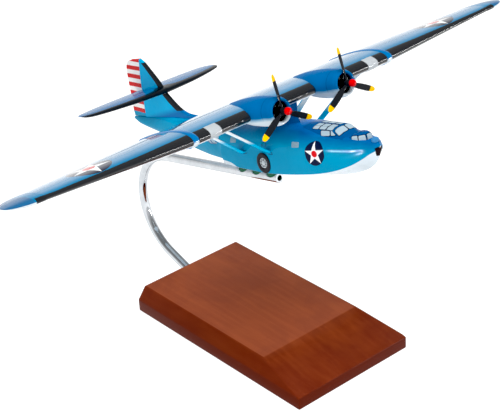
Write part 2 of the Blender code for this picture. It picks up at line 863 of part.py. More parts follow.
def rudder_section(z, front, back, thickness, points=4):
    ring = [(thickness / 2 - 0.05, front, z)]
    for k in range(1, points + 1):
        t = k / points
        ring.append((max(thickness / 2 * (1.0 - t), 0.22), front + (back - front) * t, z))
    return ring + [(-x, y, zz) for x, y, zz in reversed(ring)]


def tail_thickness(z):
    return FIN_THICKNESS * (1.0 - 0.4 * (z + 12.0) / 44.0)


def build_fin_and_rudder():
    rings = []
    for z in (-16.0, -13.4, -12.4, -11.0, -9.0, -6.5, -2.0, 5.0, 14.0, 23.0, 28.0, 30.4, 31.4):
        front = through(FIN_LEADING_EDGE, z)
        back = through(HINGE_LINE, z)
        rings.append(fin_section(z, front, back, tail_thickness(z)))
    fin = loft("fin", rings, blue_paint(), model_frame, 40.0)
    boolean(fin, hull_clearance)
    rings = []
    for z in (RUDDER_FOOT, -6.0, 0.0, 6.0, 12.0, 18.0, 23.0, 26.5, 29.0, 30.6):
        front = through(HINGE_LINE, z) + GAP
        back = through(RUDDER_EDGE, z)
        rings.append(rudder_section(z, front, back, tail_thickness(z)))
    loft("rudder", rings, tail_stripes(), model_frame, 40.0)


def build_tailplane(side, sign):
    start = FIN_THICKNESS / 2 + GAP
    rings = []
    for x in (start, 14.0, 26.0, 38.0, 48.0, 56.0, 60.5, 63.0, TAIL_HALF_SPAN):
        front = through(TAILPLANE_FRONT, x)
        back = through(TAILPLANE_BACK, x)
        thin = TAIL_THICKNESS / 43.0 * (1.0 - 0.15 * x / TAIL_HALF_SPAN)
        section = airfoil(back - front, front, TAIL_Z, thin, camber=0.0, points=8)
        rings.append([(sign * x, y, z) for y, z in section])
    loft("tailplane_" + side, rings, blue_paint(), model_frame, 25.0)


build_base()
build_arm()
build_felt()
build_hull()
build_turret()
build_canopy()
build_bow_pieces()
build_wing()
build_pylon()
build_fin_and_rudder()
for side, sign in SIDES:
    build_blister(side, sign)
    build_wheel(side, sign)
    build_strut("front_strut_" + side, FRONT_STRUT_FOOT, FRONT_STRUT_TOP, sign)
    build_strut("rear_strut_" + side, REAR_STRUT_FOOT, REAR_STRUT_TOP, sign)
    build_nacelle(side, sign)
    build_engine(side, sign)
    build_propeller(side, sign)
    build_tailplane(side, sign)
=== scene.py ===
# Desk model of a twin-engined flying boat on a mahogany base, dressed for rendering.
# Shapes are in millimetres. The aircraft's pieces are drawn in its own axes:
# x to port, y aft from the propellers, z up from the thrust lines.

import math

import bmesh
import bpy
from mathutils import Matrix, Vector
from mathutils.bvhtree import BVHTree


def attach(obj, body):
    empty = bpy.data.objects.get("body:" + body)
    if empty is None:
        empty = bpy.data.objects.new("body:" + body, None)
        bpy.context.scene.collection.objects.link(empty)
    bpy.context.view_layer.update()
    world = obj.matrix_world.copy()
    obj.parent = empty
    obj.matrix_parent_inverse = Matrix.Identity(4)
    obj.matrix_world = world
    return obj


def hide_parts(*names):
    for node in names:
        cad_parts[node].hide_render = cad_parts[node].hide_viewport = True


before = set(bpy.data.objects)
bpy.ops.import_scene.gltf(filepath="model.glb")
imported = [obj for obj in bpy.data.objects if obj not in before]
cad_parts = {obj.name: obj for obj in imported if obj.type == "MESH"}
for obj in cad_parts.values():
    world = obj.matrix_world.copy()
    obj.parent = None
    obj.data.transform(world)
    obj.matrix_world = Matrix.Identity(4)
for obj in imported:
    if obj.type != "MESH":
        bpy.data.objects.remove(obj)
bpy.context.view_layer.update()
print("frame loaded:", len(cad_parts), "nodes")

mm = 0.001
mainBody = "model_and_stand"
sides = (("port", 1.0), ("starboard", -1.0))
fullTurn = 2.0 * math.pi
quarterTurn = math.pi / 2

stand = {"centreY": -15.28, "modelY": -74.88, "modelZ": 209.2, "noseUp": 18.4}
standPlace = Matrix.Translation((0.0, stand["centreY"] * mm, 0.0))
airPlace = Matrix.Translation((0.0, stand["modelY"] * mm, stand["modelZ"] * mm))
airPlace = airPlace @ Matrix.Rotation(-math.radians(stand["noseUp"]), 4, "X")

# matched to the photograph; angles in degrees, lens in mm on a 36 mm sensor
camera = {
    "azimuth": -39.62, "elevation": 29.16, "roll": -3.43, "distance": 1062.8,
    "target": (-15.43, -20.06, 112.75), "lens": 109.12,
}


def setCamera():
    a, e, r = (math.radians(camera[name]) for name in ("azimuth", "elevation", "roll"))
    back = Vector((math.sin(a) * math.cos(e), -math.cos(a) * math.cos(e), math.sin(e)))
    right = (-back).cross(Vector((0.0, 0.0, 1.0))).normalized()
    up = right.cross(-back)
    across = right * math.cos(r) + up * math.sin(r)
    upward = up * math.cos(r) - right * math.sin(r)
    lens = bpy.data.cameras.new("photoCamera")
    lens.lens = camera["lens"]
    lens.sensor_width = 36.0
    lens.sensor_fit = "HORIZONTAL"
    lens.clip_start = 0.01
    lens.clip_end = 50.0
    obj = bpy.data.objects.new("photoCamera", lens)
    bpy.context.scene.collection.objects.link(obj)
    spot = (Vector(camera["target"]) + back * camera["distance"]) * mm
    turn = Matrix((across, upward, back)).transposed().to_4x4()
    obj.matrix_world = Matrix.Translation(spot) @ turn
    bpy.context.scene.camera = obj


setCamera()


def tone(red, green, blue):
    # screen colour, 0 to 255, as the linear colour that shaders take
    shares = (part / 255.0 for part in (red, green, blue))
    return tuple(c / 12.92 if c <= 0.04045 else ((c + 0.055) / 1.055) ** 2.4 for c in shares)


def feed(socket, value):
    # a number, a colour or another step's result goes into a socket
    value = getattr(value, "socket", value)
    if isinstance(value, bpy.types.NodeSocket):
        socket.id_data.links.new(value, socket)
    elif socket.type == "RGBA":
        socket.default_value = (*value, 1.0)
    else:
        socket.default_value = value


def step(tree, kind, inputs, **settings):
    # one node, with its inputs fed by name or by place
    node = tree.nodes.new("ShaderNode" + kind)
    for name, value in settings.items():
        setattr(node, name, value)
    for key, value in inputs.items():
        feed(node.inputs[key], value)
    return node.outputs


class Amount:
    # a number that varies over a surface; sums with it become node steps
    def __init__(self, socket):
        self.socket = socket

    def calc(self, how, *others):
        inputs = dict(enumerate((self, *others)))
        return Amount(step(self.socket.id_data, "Math", inputs, operation=how)[0])

    def __add__(self, other):
        return self.calc("ADD", other)

    def __sub__(self, other):
        return self.calc("SUBTRACT", other)

    def __mul__(self, other):
        return self.calc("MULTIPLY", other)

    def __abs__(self):
        return self.calc("ABSOLUTE")

    def ramp(self, low, high, start=0.0, end=1.0):
        # start below low, end above high, straight between; high may be the lower one
        inputs = {"Value": self, "From Min": low, "From Max": high, "To Min": start, "To Max": end}
        return Amount(step(self.socket.id_data, "MapRange", inputs, clamp=True)[0])

    def mix(self, a, b):
        # colour a where this is 0, colour b where it is 1
        return step(self.socket.id_data, "Mix", {0: self, 6: a, 7: b}, data_type="RGBA")[2]


class Finish:
    # a material in the making; x, y and z are a point's place in the piece's own axes
    def __init__(self, name):
        self.material = bpy.data.materials.new(name)
        self.material.use_nodes = True
        self.tree = self.material.node_tree
        self.shader = self.tree.nodes["Principled BSDF"]
        self.place = step(self.tree, "TexCoord", {})
        inputs = {0: self.place["Object"], "Scale": 1.0 / mm}
        self.point = step(self.tree, "VectorMath", inputs, operation="SCALE")[0]
        self.x, self.y, self.z = self.split(self.point)

    def split(self, vector):
        return [Amount(part) for part in step(self.tree, "SeparateXYZ", {0: vector})]

    def stretched(self, amounts):
        return step(self.tree, "VectorMath", {0: self.point, 1: amounts}, operation="MULTIPLY")[0]

    def noise(self, scale, detail=3.0, rough=0.5, distortion=0.0, point=None):
        inputs = {"Vector": self.point if point is None else point, "Scale": scale,
                  "Detail": detail, "Roughness": rough, "Distortion": distortion}
        return Amount(step(self.tree, "TexNoise", inputs)["Fac"])

    def stored(self, name):
        # a number kept on the piece's vertices
        return Amount(step(self.tree, "Attribute", {}, attribute_name=name)["Fac"])

    def give(self, values):
        for name, value in values.items():
            feed(self.shader.inputs[name], value)

    def bump(self, *layers):
        # each layer is its height, strength and depth in mm
        normal = None
        for height, strength, depth in layers:
            inputs = {"Strength": strength, "Distance": depth * mm, "Height": height}
            if normal is not None:
                inputs["Normal"] = normal
            normal = step(self.tree, "Bump", inputs)[0]
        self.give({"Normal": normal})


paint = {
    "deck": tone(0, 82, 140), "side": tone(0, 142, 182), "white": tone(208, 220, 228),
    "wingTop": tone(0, 122, 170), "floatTop": tone(36, 100, 146), "tailTop": tone(14, 104, 160),
    "nacelleTop": tone(4, 102, 162), "bandTop": tone(0, 112, 174), "finTop": tone(0, 166, 214),
    # the strut's white is a painted reflection of the bright background; its cyan is its own colour,
    # lightened as painted light against the shade it sits in
    "finFoot": tone(10, 110, 172), "strutWhiteReflection": tone(232, 240, 244), "strutCyan": tone(0, 186, 232),
    # the tailplane's boot black is a darker copy of the wing's, painted shade against the lacquer's reflected
    # light
    "boot": tone(38, 40, 43), "tailBootShaded": tone(26, 32, 38), "navy": tone(22, 30, 58),
    "starWhite": tone(236, 240, 242), "starRed": tone(206, 22, 28), "stripeRed": tone(200, 34, 36),
    "stripeWhite": tone(236, 234, 232), "stripeEdge": tone(230, 150, 150), "frameBlue": tone(6, 34, 72),
    "pane": tone(164, 184, 196), "paneDark": tone(162, 184, 196), "paneRim": tone(10, 28, 56),
    "window": tone(138, 164, 178), "windowDark": tone(112, 142, 160), "silver": tone(180, 186, 190),
    # the bow cap is a blue paler than the deck: its own blue lightened as a painted highlight of the glossy
    # rounded bow
    "cap": tone(60, 126, 178), "bowPane": tone(30, 18, 22), "mouth": tone(16, 20, 24),
    "bladeBlack": tone(36, 38, 42), "bladeYellow": tone(246, 192, 8), "hubRed": tone(214, 14, 18),
    "engineBlack": tone(14, 15, 17), "engineMetal": tone(62, 64, 66), "tyre": tone(30, 28, 34),
    "wheelHub": tone(196, 204, 208), "wheelHole": tone(36, 40, 46),
}
wheel = {
    "y": 45.6, "z": -39.2, "radius": 7.2, "hubRadius": 3.7,
    "holes": 8, "holeRadius": 0.75, "holeCircle": 2.4, "ringRadius": 1.15,
}
hullStar = {"y": -7.1, "z": -32.8, "radius": 8.35, "lean": 0.92}
wingStar = {"x": 155.0, "y": 39.6, "radius": 15.0}
stripes = {"top": 34.64, "bottom": -9.17, "count": 13, "tilt": 0.1, "tiltFrom": 205.0}
# where one colour meets another
meeting = {"floatX": 204.6, "cowlLineY": 9.6, "yellowTip": 20.4}


def length(u, v):
    return (u * u + v * v).calc("SQRT")


def folded(u, v, count):
    # how far out a point is, and how far along and beside the nearest of some rays; one is along v
    away = length(u, v)
    half = math.pi / count
    angle = u.calc("ARCTAN2", v).calc("WRAP", half, -half)
    return away, away * angle.calc("COSINE"), away * angle.calc("SINE")


def roundel(under, u, v, radius):
    # navy disc, white star with a point along v, red centre, all as crisp as printed film
    crisp = 0.12
    away, along, beside = folded(u, v, 5)
    inside = (along - radius * 0.985) * -0.309 - abs(beside) * 0.951
    colour = away.ramp(radius + crisp, radius - crisp).mix(under, paint["navy"])
    colour = inside.ramp(-crisp, crisp).mix(colour, paint["starWhite"])
    dot = radius * 0.29
    return away.ramp(dot + crisp, dot - crisp).mix(colour, paint["starRed"])


def twoSided(at, top):
    # the upper skin's colour over a white underside
    return at.stored("skinSide").ramp(-0.04, 0.04).mix(paint["white"], top)


def booted(at, colour, boot):
    # de-icer boot round the leading edge
    return at.stored("bootAft").ramp(-0.1, 0.1).mix(boot, colour)


def hullColour(at):
    # dark blue deck fading into cyan sides, white bottom below the chine
    drift = at.noise(0.05, 2.0).ramp(0.3, 0.7, -0.8, 0.8)
    colour = (at.stored("fromDeck") + drift).ramp(-4.6, 4.4).mix(paint["side"], paint["deck"])
    up = (at.z - hullStar["z"]) * (1.0 / hullStar["lean"])
    colour = roundel(colour, at.y - hullStar["y"], up, hullStar["radius"])
    return at.stored("fromChine").ramp(-0.05, 0.12).mix(paint["white"], colour)


def wingColour(at):
    colour = twoSided(at, paint["wingTop"])
    u = abs(at.x) - wingStar["x"]
    v = (at.y - wingStar["y"]) * -1.0
    marked = roundel(paint["wingTop"], u, v, wingStar["radius"])
    inDisc = length(u, v).calc("LESS_THAN", wingStar["radius"] + 0.2)
    onTop = at.stored("skinSide").calc("GREATER_THAN", 0.5)
    colour = (inDisc * onTop).mix(colour, marked)
    colour = abs(at.stored("fromHinge")).ramp(0.18, 0.32, 0.55, 0.0).mix(colour, paint["frameBlue"])
    return booted(at, colour, paint["boot"])


def tipColour(at):
    # the float's darker blue begins where the boot ends
    edge = meeting["floatX"]
    return abs(at.x).ramp(edge - 0.2, edge + 0.2).mix(wingColour(at), twoSided(at, paint["floatTop"]))


def nacelleColour(at):
    # blue above, white below, dark inside the mouth, a fine line where the cowl ends
    drift = at.noise(0.12, 2.0).ramp(0.3, 0.7, -0.4, 0.4)
    share = (at.z + drift).ramp(-4.2, -1.2)
    colour = share.mix(paint["white"], at.z.ramp(-3.6, -0.6).mix(paint["side"], paint["nacelleTop"]))
    colour = at.stored("inMouth").mix(colour, paint["mouth"])
    line = abs(at.y - meeting["cowlLineY"]).ramp(0.1, 0.3, 0.5, 0.0) * share
    return line.mix(colour, paint["frameBlue"])


def bandColour(at):
    edge = at.z + (at.y - 17.4) * 0.7
    return edge.ramp(-0.9, 0.1).mix(paint["white"], paint["bandTop"])


def tailColour(at):
    hinge = abs(at.stored("fromHinge")).ramp(0.15, 0.3, 0.5, 0.0)
    # the boot here is the darker copy of the boot black: painted shade against reflected light
    return booted(at, hinge.mix(twoSided(at, paint["tailTop"]), paint["frameBlue"]), paint["tailBootShaded"])


def finColour(at):
    # cyan fin over a darker fillet at its foot
    level = at.z + (at.y - 150.0) * 0.16
    return booted(at, level.ramp(-8.0, -3.0).mix(paint["finFoot"], paint["finTop"]), paint["boot"])


def strutColour(at):
    # painted reflection: white from the wing down stands for the bright background mirrored in the glossy
    # strut; cyan, the strut's own colour lightened as painted light against shade, near the hull and along
    # the rear edge
    low = at.z.ramp(-17.0, -21.0)
    back = at.stored("chordShare").ramp(0.1, 0.5)
    return low.calc("MAXIMUM", back).mix(paint["strutWhiteReflection"], paint["strutCyan"])


def wheelHubColour(at):
    # pale disc with a ring of dark openings
    distance, along, aside = folded(at.y - wheel["y"], at.z - wheel["z"], wheel["holes"])
    hole = length(along - wheel["holeCircle"], aside)
    hole = hole.ramp(wheel["holeRadius"] - 0.04, wheel["holeRadius"] + 0.08, 1.0, 0.0)
    ring = abs(distance - wheel["ringRadius"]).ramp(0.12, 0.26, 0.8, 0.0)
    return hole.calc("MAXIMUM", ring).mix(paint["wheelHub"], paint["wheelHole"])


def rudderColour(at):
    # thirteen stripes, red at both ends, cyan below them
    height = (stripes["top"] - stripes["bottom"]) / stripes["count"]
    level = at.z - (at.y - stripes["tiltFrom"]) * stripes["tilt"]
    along = (level - stripes["top"]) * (-1.0 / height)
    red = along.calc("MODULO", 2.0).calc("LESS_THAN", 1.0)
    colour = red.mix(paint["stripeWhite"], paint["stripeRed"])
    colour = along.calc("PINGPONG", 1.0).ramp(0.0, 0.03, 0.15, 0.0).mix(colour, paint["stripeEdge"])
    return along.ramp(stripes["count"] - 0.02, stripes["count"] + 0.02).mix(colour, paint["side"])


def bladeColour(at):
    edge = meeting["yellowTip"]
    tip = length(at.x, at.z).ramp(edge - 0.1, edge + 0.1)
    return tip.mix(paint["bladeBlack"], paint["bladeYellow"])


def glassPrint(at):
    # glazing printed in pale grey inside a dark outline
    glass = at.noise(2.2, 3.0, 0.7).ramp(0.4, 0.75).mix(paint["pane"], paint["paneDark"])
    return at.stored("rim").ramp(0.3, 0.7).mix(glass, paint["paneRim"])


def windowPrint(at):
    return at.noise(1.2, 3.0, 0.7).ramp(0.4, 0.75).mix(paint["window"], paint["windowDark"])


def glossFinish(name, pick, roughness=0.3, peel=0.03, coat=0.25, metallic=0.0):
    # sprayed enamel under clear lacquer: slight clouding, orange peel, dust nibs and handling marks
    made = Finish(name)
    colour = pick(made) if callable(pick) else pick
    cloud = made.noise(0.045, 3.0, 0.55).ramp(0.3, 0.7, 0.95, 1.05)
    grain = made.noise(1.7, 2.0, 0.6).ramp(0.3, 0.7, 0.985, 1.015)
    marks = made.noise(0.35, 4.0, 0.7, 0.4).ramp(0.35, 0.75, roughness - 0.06, roughness + 0.1)
    shaded = step(made.tree, "VectorMath", {0: colour, "Scale": cloud * grain}, operation="SCALE")[0]
    made.give({
        "Base Color": shaded, "Roughness": marks, "Metallic": metallic, "Coat Weight": coat,
        "Coat Roughness": 0.03, "Coat IOR": 1.5, "Specular IOR Level": 0.005,
    })
    made.bump((made.noise(0.12, 1.0, 0.4), peel, 0.4), (made.noise(2.0, 1.0), peel * 0.15, 0.03))
    return made.material


wood = {
    "dark": tone(128, 54, 26), "light": tone(152, 72, 38), "ring": tone(110, 42, 20),
    "warm": tone(166, 86, 48), "pore": tone(70, 28, 15), "cloud": tone(96, 38, 24),
    # edge and the sloping front's tint are painted shade on the upright sides and the front; top is a painted
    # highlight on the flat top
    "glow": tone(172, 86, 40), "edge": tone(88, 36, 12), "slopeShade": tone(98, 38, 32),
    "top": tone(190, 112, 86),
}


def mahoganyFinish():
    # stained grain with open pores, plus painted shade and a painted highlight set by which way a face
    # points: upright sides darkest, the sloping front darker, the flat top lighter
    made = Finish("mahogany_satin_painted_shade")
    warp = made.noise(1.0, point=made.stretched((0.02, 0.004, 0.02)))
    figure = made.noise(1.4, 5.0, 0.6, 0.7, made.stretched((0.09, 0.006, 0.09)))
    waves = {"Vector": made.stretched((0.05, 0.003, 0.12)), "Scale": 1.1, "Distortion": 5.0,
             "Detail": 3.0, "Detail Scale": 0.7}
    rings = Amount(step(made.tree, "TexWave", waves, wave_type="BANDS", bands_direction="X")["Fac"])
    pore = made.noise(1.0, 2.0, 0.6, point=made.stretched((2.6, 0.13, 2.6))).ramp(0.6, 0.72)
    cloud = made.noise(0.028, 4.0, 0.62, 0.6)
    glow = made.noise(1.0, 3.0, 0.6, point=made.stretched((0.05, 0.018, 0.05)))
    facing = made.split(made.place["Normal"])[2]
    colour = figure.ramp(0.32, 0.68).mix(wood["dark"], wood["light"])
    for share, tint in (
        (rings.ramp(0.0, 1.0, 0.0, 0.2), "ring"), (warp.ramp(0.4, 0.7, 0.0, 0.25), "warm"),
        (pore * 0.3, "pore"), (cloud.ramp(0.46, 0.62, 0.0, 0.4), "cloud"),
        # after the glow: painted shade on the upright sides and the sloping front, and a painted highlight on
        # the flat top, all set by which way a face points
        (glow.ramp(0.5, 0.7, 0.0, 0.4), "glow"), (facing.ramp(0.2, 0.9, 1.0, 0.0), "edge"),
        (facing.ramp(0.995, 0.97) * 0.55, "slopeShade"), (facing.ramp(0.98, 0.998) * 0.32, "top"),
    ):
        colour = share.mix(colour, wood[tint])
    smear = made.noise(0.06, 4.0, 0.6).ramp(0.3, 0.7, 0.3, 0.42)
    made.give({
        "Base Color": colour, "Roughness": smear, "Specular IOR Level": 0.05,
        "Coat Weight": 0.01, "Coat Roughness": 0.25,
    })
    made.bump((pore, 0.25, -0.06), (made.noise(0.9, 2.0), 0.08, 0.05))
    return made.material


def chromeFinish():
    made = Finish("chrome_tube_plating")
    haze = made.noise(0.12, 4.0, 0.65)
    made.give({
        "Base Color": haze.ramp(0.35, 0.7).mix(tone(206, 210, 214), tone(190, 195, 200)),
        "Metallic": 1.0, "Roughness": haze.ramp(0.4, 0.8, 0.045, 0.12),
    })
    made.bump((made.noise(0.2, 1.0), 0.03, 0.3))
    return made.material


def feltFinish():
    made = Finish("green_felt_pile")
    pile = made.noise(3.5, 4.0, 0.75)
    clump = made.noise(0.7, 3.0, 0.6)
    colour = pile.ramp(0.3, 0.7).mix(tone(0, 70, 42), tone(16, 128, 84))
    colour = clump.ramp(0.4, 0.7, 0.0, 0.4).mix(colour, tone(4, 92, 60))
    made.give({"Base Color": colour, "Roughness": 0.95, "Sheen Weight": 0.4})
    made.bump((pile, 0.7, 0.3), (clump, 0.3, 0.5))
    return made.material


# each finish with the record's slot that it belongs to
blue, silver, black = "blue_paint", "silver_paint", "black_paint"
finishes = {
    "mahogany": ("mahogany", mahoganyFinish()),
    "chrome": ("chrome_tube", chromeFinish()),
    "felt": ("green_felt", feltFinish()),
    "hull": (blue, glossFinish("hull_enamel", hullColour, 0.28, 0.012)),
    "deck": (blue, glossFinish("deck_blue_enamel", paint["deck"])),
    "wing": (blue, glossFinish("wing_enamel", wingColour, 0.26, 0.006, 1.0)),
    "tip": (blue, glossFinish("tip_float_enamel", tipColour, 0.28, 0.008, 0.6)),
    "band": (blue, glossFinish("joint_band_enamel", bandColour, coat=0.8)),
    "nacelle": (blue, glossFinish("nacelle_enamel", nacelleColour, coat=0.05)),
    "tailplane": (blue, glossFinish("tailplane_enamel", tailColour, 0.28, 0.004, 0.42)),
    "fin": (blue, glossFinish("fin_enamel", finColour)),
    "rudder": ("striped_paint", glossFinish("rudder_enamel", rudderColour, 0.32)),
    "strut": (blue, glossFinish("strut_enamel_painted_reflection", strutColour)),
    "pane": (silver, glossFinish("glazing_print", glassPrint, 0.2)),
    "window": (silver, glossFinish("window_print", windowPrint, 0.2)),
    "silver": (silver, glossFinish("silver_enamel", paint["silver"], 0.25, 0.04)),
    "cap": (blue, glossFinish("bow_cap_pale_blue_painted_highlight", paint["cap"], 0.2)),
    "line": (blue, glossFinish("outline_print", paint["frameBlue"])),
    "bowPane": (black, glossFinish("bow_pane_black", paint["bowPane"], 0.2)),
    "blade": (black, glossFinish("propeller_enamel", bladeColour)),
    "hubRed": (black, glossFinish("hub_red_enamel", paint["hubRed"], 0.25)),
    "black": (black, glossFinish("engine_black", paint["engineBlack"], 0.42, 0.06, 0.3)),
    "metal": (black, glossFinish("engine_dark_metal", paint["engineMetal"], 0.4, 0.06, 0.2, 0.6)),
    "tyre": (black, glossFinish("tyre_black", paint["tyre"], 0.5, 0.08, 0.4)),
    "wheelHub": (silver, glossFinish("wheel_hub_grey", wheelHubColour)),
}
print("finishes made:", len(finishes))


def dressed(name, bm, finish, sharp=35.0, node=None, place=airPlace, body=mainBody):
    # a mesh becomes a piece that rides on a body and may stand for one of the frame's nodes
    bmesh.ops.remove_doubles(bm, verts=bm.verts, dist=0.002 * mm)
    bmesh.ops.recalc_face_normals(bm, faces=bm.faces)
    data = bpy.data.meshes.new(name)
    bm.to_mesh(data)
    bm.free()
    slot, material = finishes[finish]
    data.materials.append(material)
    data.shade_smooth()
    data.set_sharp_from_angle(angle=math.radians(sharp))
    obj = bpy.data.objects.new(name, data)
    bpy.context.scene.collection.objects.link(obj)
    obj.matrix_world = place
    if body:
        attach(obj, body)
    if node:
        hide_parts(node)
    return obj


def bridge(bm, rows):
    # quads between neighbouring rings of points
    for low, high in zip(rows, rows[1:]):
        for i in range(len(low)):
            j = (i + 1) % len(low)
            bm.faces.new((low[i], low[j], high[j], high[i]))


def skin(bm, rings, marks=None):
    # a closed shape through equal rings; marks gives each point its stored numbers
    layers = {}
    for name in marks(0, 0, rings[0][0]) if marks else ():
        layers[name] = bm.verts.layers.float.new(name)
    rows = []
    for ringIndex, ring in enumerate(rings):
        rows.append([bm.verts.new(Vector(point) * mm) for point in ring])
        if marks:
            for pointIndex, (vert, point) in enumerate(zip(rows[-1], ring)):
                for name, amount in marks(ringIndex, pointIndex, point).items():
                    vert[layers[name]] = amount
    bridge(bm, rows)
    bm.faces.new(list(reversed(rows[0])))
    bm.faces.new(rows[-1])


def lathe(bm, profile, steps, place=None):
    # profile of (radius, height) turned about the local z axis
    rows = []
    for radius, height in profile:
        spots = [Vector((radius * c, radius * s, height)) * mm for c, s in circle(steps)]
        rows.append([bm.verts.new(place @ spot if place else spot) for spot in spots])
    bridge(bm, rows)
    bm.faces.new(rows[0])
    bm.faces.new(rows[-1])


def circle(count):
    angles = [fullTurn * k / count for k in range(count)]
    return [(math.cos(a), math.sin(a)) for a in angles]


def lofted(name, rings, finish, sharp=35.0, node=None, place=airPlace, marks=None):
    bm = bmesh.new()
    skin(bm, rings, marks)
    return dressed(name, bm, finish, sharp, node, place)


def lathed(name, profile, steps, finish, sharp, node=None, place=airPlace, body=mainBody):
    bm = bmesh.new()
    lathe(bm, profile, steps)
    return dressed(name, bm, finish, sharp, node, place, body)


def through(points, value):
    # smooth curve through a few (position, amount) points
    if value <= points[0][0]:
        return points[0][1]
    for k in range(len(points) - 1):
        x0, y0 = points[k]
        x1, y1 = points[k + 1]
        if value <= x1:
            before = points[max(k - 1, 0)]
            after = points[min(k + 2, len(points) - 1)]
            slope0 = (y1 - before[1]) / (x1 - before[0])
            slope1 = (after[1] - y0) / (after[0] - x0)
            t = (value - x0) / (x1 - x0)
            h = x1 - x0
            return (
                (2 * t**3 - 3 * t**2 + 1) * y0 + (t**3 - 2 * t**2 + t) * h * slope0
                + (-2 * t**3 + 3 * t**2) * y1 + (t**3 - t**2) * h * slope1
            )
    return points[-1][1]


def rowAt(table, value):
    # the other columns of a table at a place along its first one
    first, *others = zip(*table)
    return [through(list(zip(first, column)), value) for column in others]


def straight(points, value):
    # straight lines through a few (position, amount) points
    for (x0, y0), (x1, y1) in zip(points, points[1:]):
        if value <= x1:
            return y0 + (y1 - y0) * max(0.0, value - x0) / (x1 - x0)
    return points[-1][1]


def cutAway(obj, tools, kept=()):
    # takes the tools' shapes out of a piece; the tools are then removed, the kept ones aren't
    for tool in (*tools, *kept):
        cut = obj.modifiers.new("cut", "BOOLEAN")
        cut.operation = "DIFFERENCE"
        cut.solver = "EXACT"
        cut.object = tool
    bpy.context.view_layer.update()
    shown = obj.evaluated_get(bpy.context.evaluated_depsgraph_get())
    old = obj.data
    data = bpy.data.meshes.new_from_object(shown)
    obj.modifiers.clear()
    obj.data = data
    bpy.data.meshes.remove(old)
    for tool in tools:
        bpy.data.objects.remove(tool)


def cutter(name, bm, place):
    return dressed(name, bm, "black", place=place, body=None)


def surfaceOf(obj):
    bm = bmesh.new()
    bm.from_mesh(obj.data)
    tree = BVHTree.FromBMesh(bm)
    bm.free()
    return tree


plateMesh = {"rows": 9, "around": 56, "outline": 0.5}


def plate(name, surface, corners, finish, proud, square, outlined=True, ahead=None):
    # thin raised plate that lies on another piece, its corners given in order;
    # square rounds its corners less the higher it is, and the outline is a dark printed line
    a, b, c, d = [Vector(corner) * mm for corner in corners]
    wide = ((b - a).length + (c - d).length) / 4.0
    tall = ((d - a).length + (c - b).length) / 4.0

    def held(u, v, lift):
        s = (u + 1.0) / 2.0
        t = (v + 1.0) / 2.0
        spot = a * (1 - s) * (1 - t) + b * s * (1 - t) + c * s * t + d * (1 - s) * t
        hit = surface.ray_cast(spot, Vector(ahead)) if ahead else surface.find_nearest(spot)
        return hit[0] + hit[1] * lift * mm

    rows = plateMesh["rows"]
    line = plateMesh["outline"]
    levels = [(k / rows, 0.0, proud) for k in range(1, rows)]
    if outlined:
        levels += [(1.0, 0.0, proud), (1.0, 0.12 * line, proud)]
        levels += [(1.0, line, proud * 0.8), (1.0, line, -proud)]
    else:
        levels += [(0.985, 0.0, proud), (1.0, 0.0, proud * 0.6), (1.0, 0.0, -proud)]
    bm = bmesh.new()
    rim = bm.verts.layers.float.new("rim")
    middle = bm.verts.new(held(0.0, 0.0, proud))
    rings = []
    for size, beyond, lift in levels:
        ring = []
        for p, q in circle(plateMesh["around"]):
            reach = size * (abs(p) ** square + abs(q) ** square) ** (-1.0 / square)
            u = reach * p * (1.0 + beyond * mm / wide)
            v = reach * q * (1.0 + beyond * mm / tall)
            ring.append(bm.verts.new(held(u, v, lift)))
            ring[-1][rim] = 1.0 if beyond else 0.0
        rings.append(ring)
    for k in range(len(rings[0])):
        bm.faces.new((middle, rings[0][k - 1], rings[0][k]))
    bridge(bm, rings)
    bm.faces.new(rings[-1])
    return dressed(name, bm, finish, 50.0)


def mirrored(corners, sign):
    return [(sign * abs(x), y, z) for x, y, z in corners]


def otherSide(points):
    return [(-x, y, z) for x, y, z in reversed(points)]


base = {
    "width": 106.0, "length": 180.0, "height": 19.0, "edgeHeight": 9.8, "chamfer": 7.2,
    "slopeLength": 44.6, "softEdge": 0.9, "boreRadius": 3.9,
}
arm = {
    "radius": 3.6, "wall": 1.6, "lip": 0.16, "sides": 56, "bendRadius": 45.0, "bendY": 99.7, "bendZ": 61.5,
    "lowAngle": 20.0, "topAngle": 12.7, "endY": -20.2, "inBase": 16.0, "bendSteps": 72,
    "notches": (6.8, 22.6, 38.2), "notchRadius": 8.6, "notchHeight": 9.4,
}
felt = {"start": 3.0, "length": 45.0, "radius": 2.72, "halfTurn": 98.0, "steps": 60, "across": 13}


def armPath(steps):
    low = math.radians(arm["lowAngle"])
    up = math.radians(arm["topAngle"])
    centre = Vector((0.0, arm["bendY"], arm["bendZ"]))
    points = []
    for k in range(steps + 1):
        angle = low + (math.pi - up - low) * k / steps
        points.append(centre + Vector((0.0, math.sin(angle), -math.cos(angle))) * arm["bendRadius"])
    back = points[0].y - (base["length"] / 2 - arm["inBase"])
    points.insert(0, points[0] - Vector((0.0, 1.0, math.tan(low))) * back)
    ahead = points[-1].y - arm["endY"]
    points.append(points[-1] + Vector((0.0, -1.0, math.tan(up))) * ahead)
    return points


def topRun(fromEnd, above=0.0):
    # a point on the arm's last straight run, measured back from its open end
    up = math.radians(arm["topAngle"])
    end = armPath(arm["bendSteps"])[-1]
    along = Vector((0.0, math.cos(up), -math.sin(up)))
    normal = Vector((0.0, math.sin(up), math.cos(up)))
    return end + along * fromEnd + normal * above


def tubeRings(points, radius, count=arm["sides"]):
    side = Vector((1.0, 0.0, 0.0))
    rings = []
    for k, point in enumerate(points):
        ahead = (points[min(k + 1, len(points) - 1)] - points[max(k - 1, 0)]).normalized()
        lift = side.cross(ahead)
        rings.append([point + side * radius * c + lift * radius * s for c, s in circle(count)])
    return rings


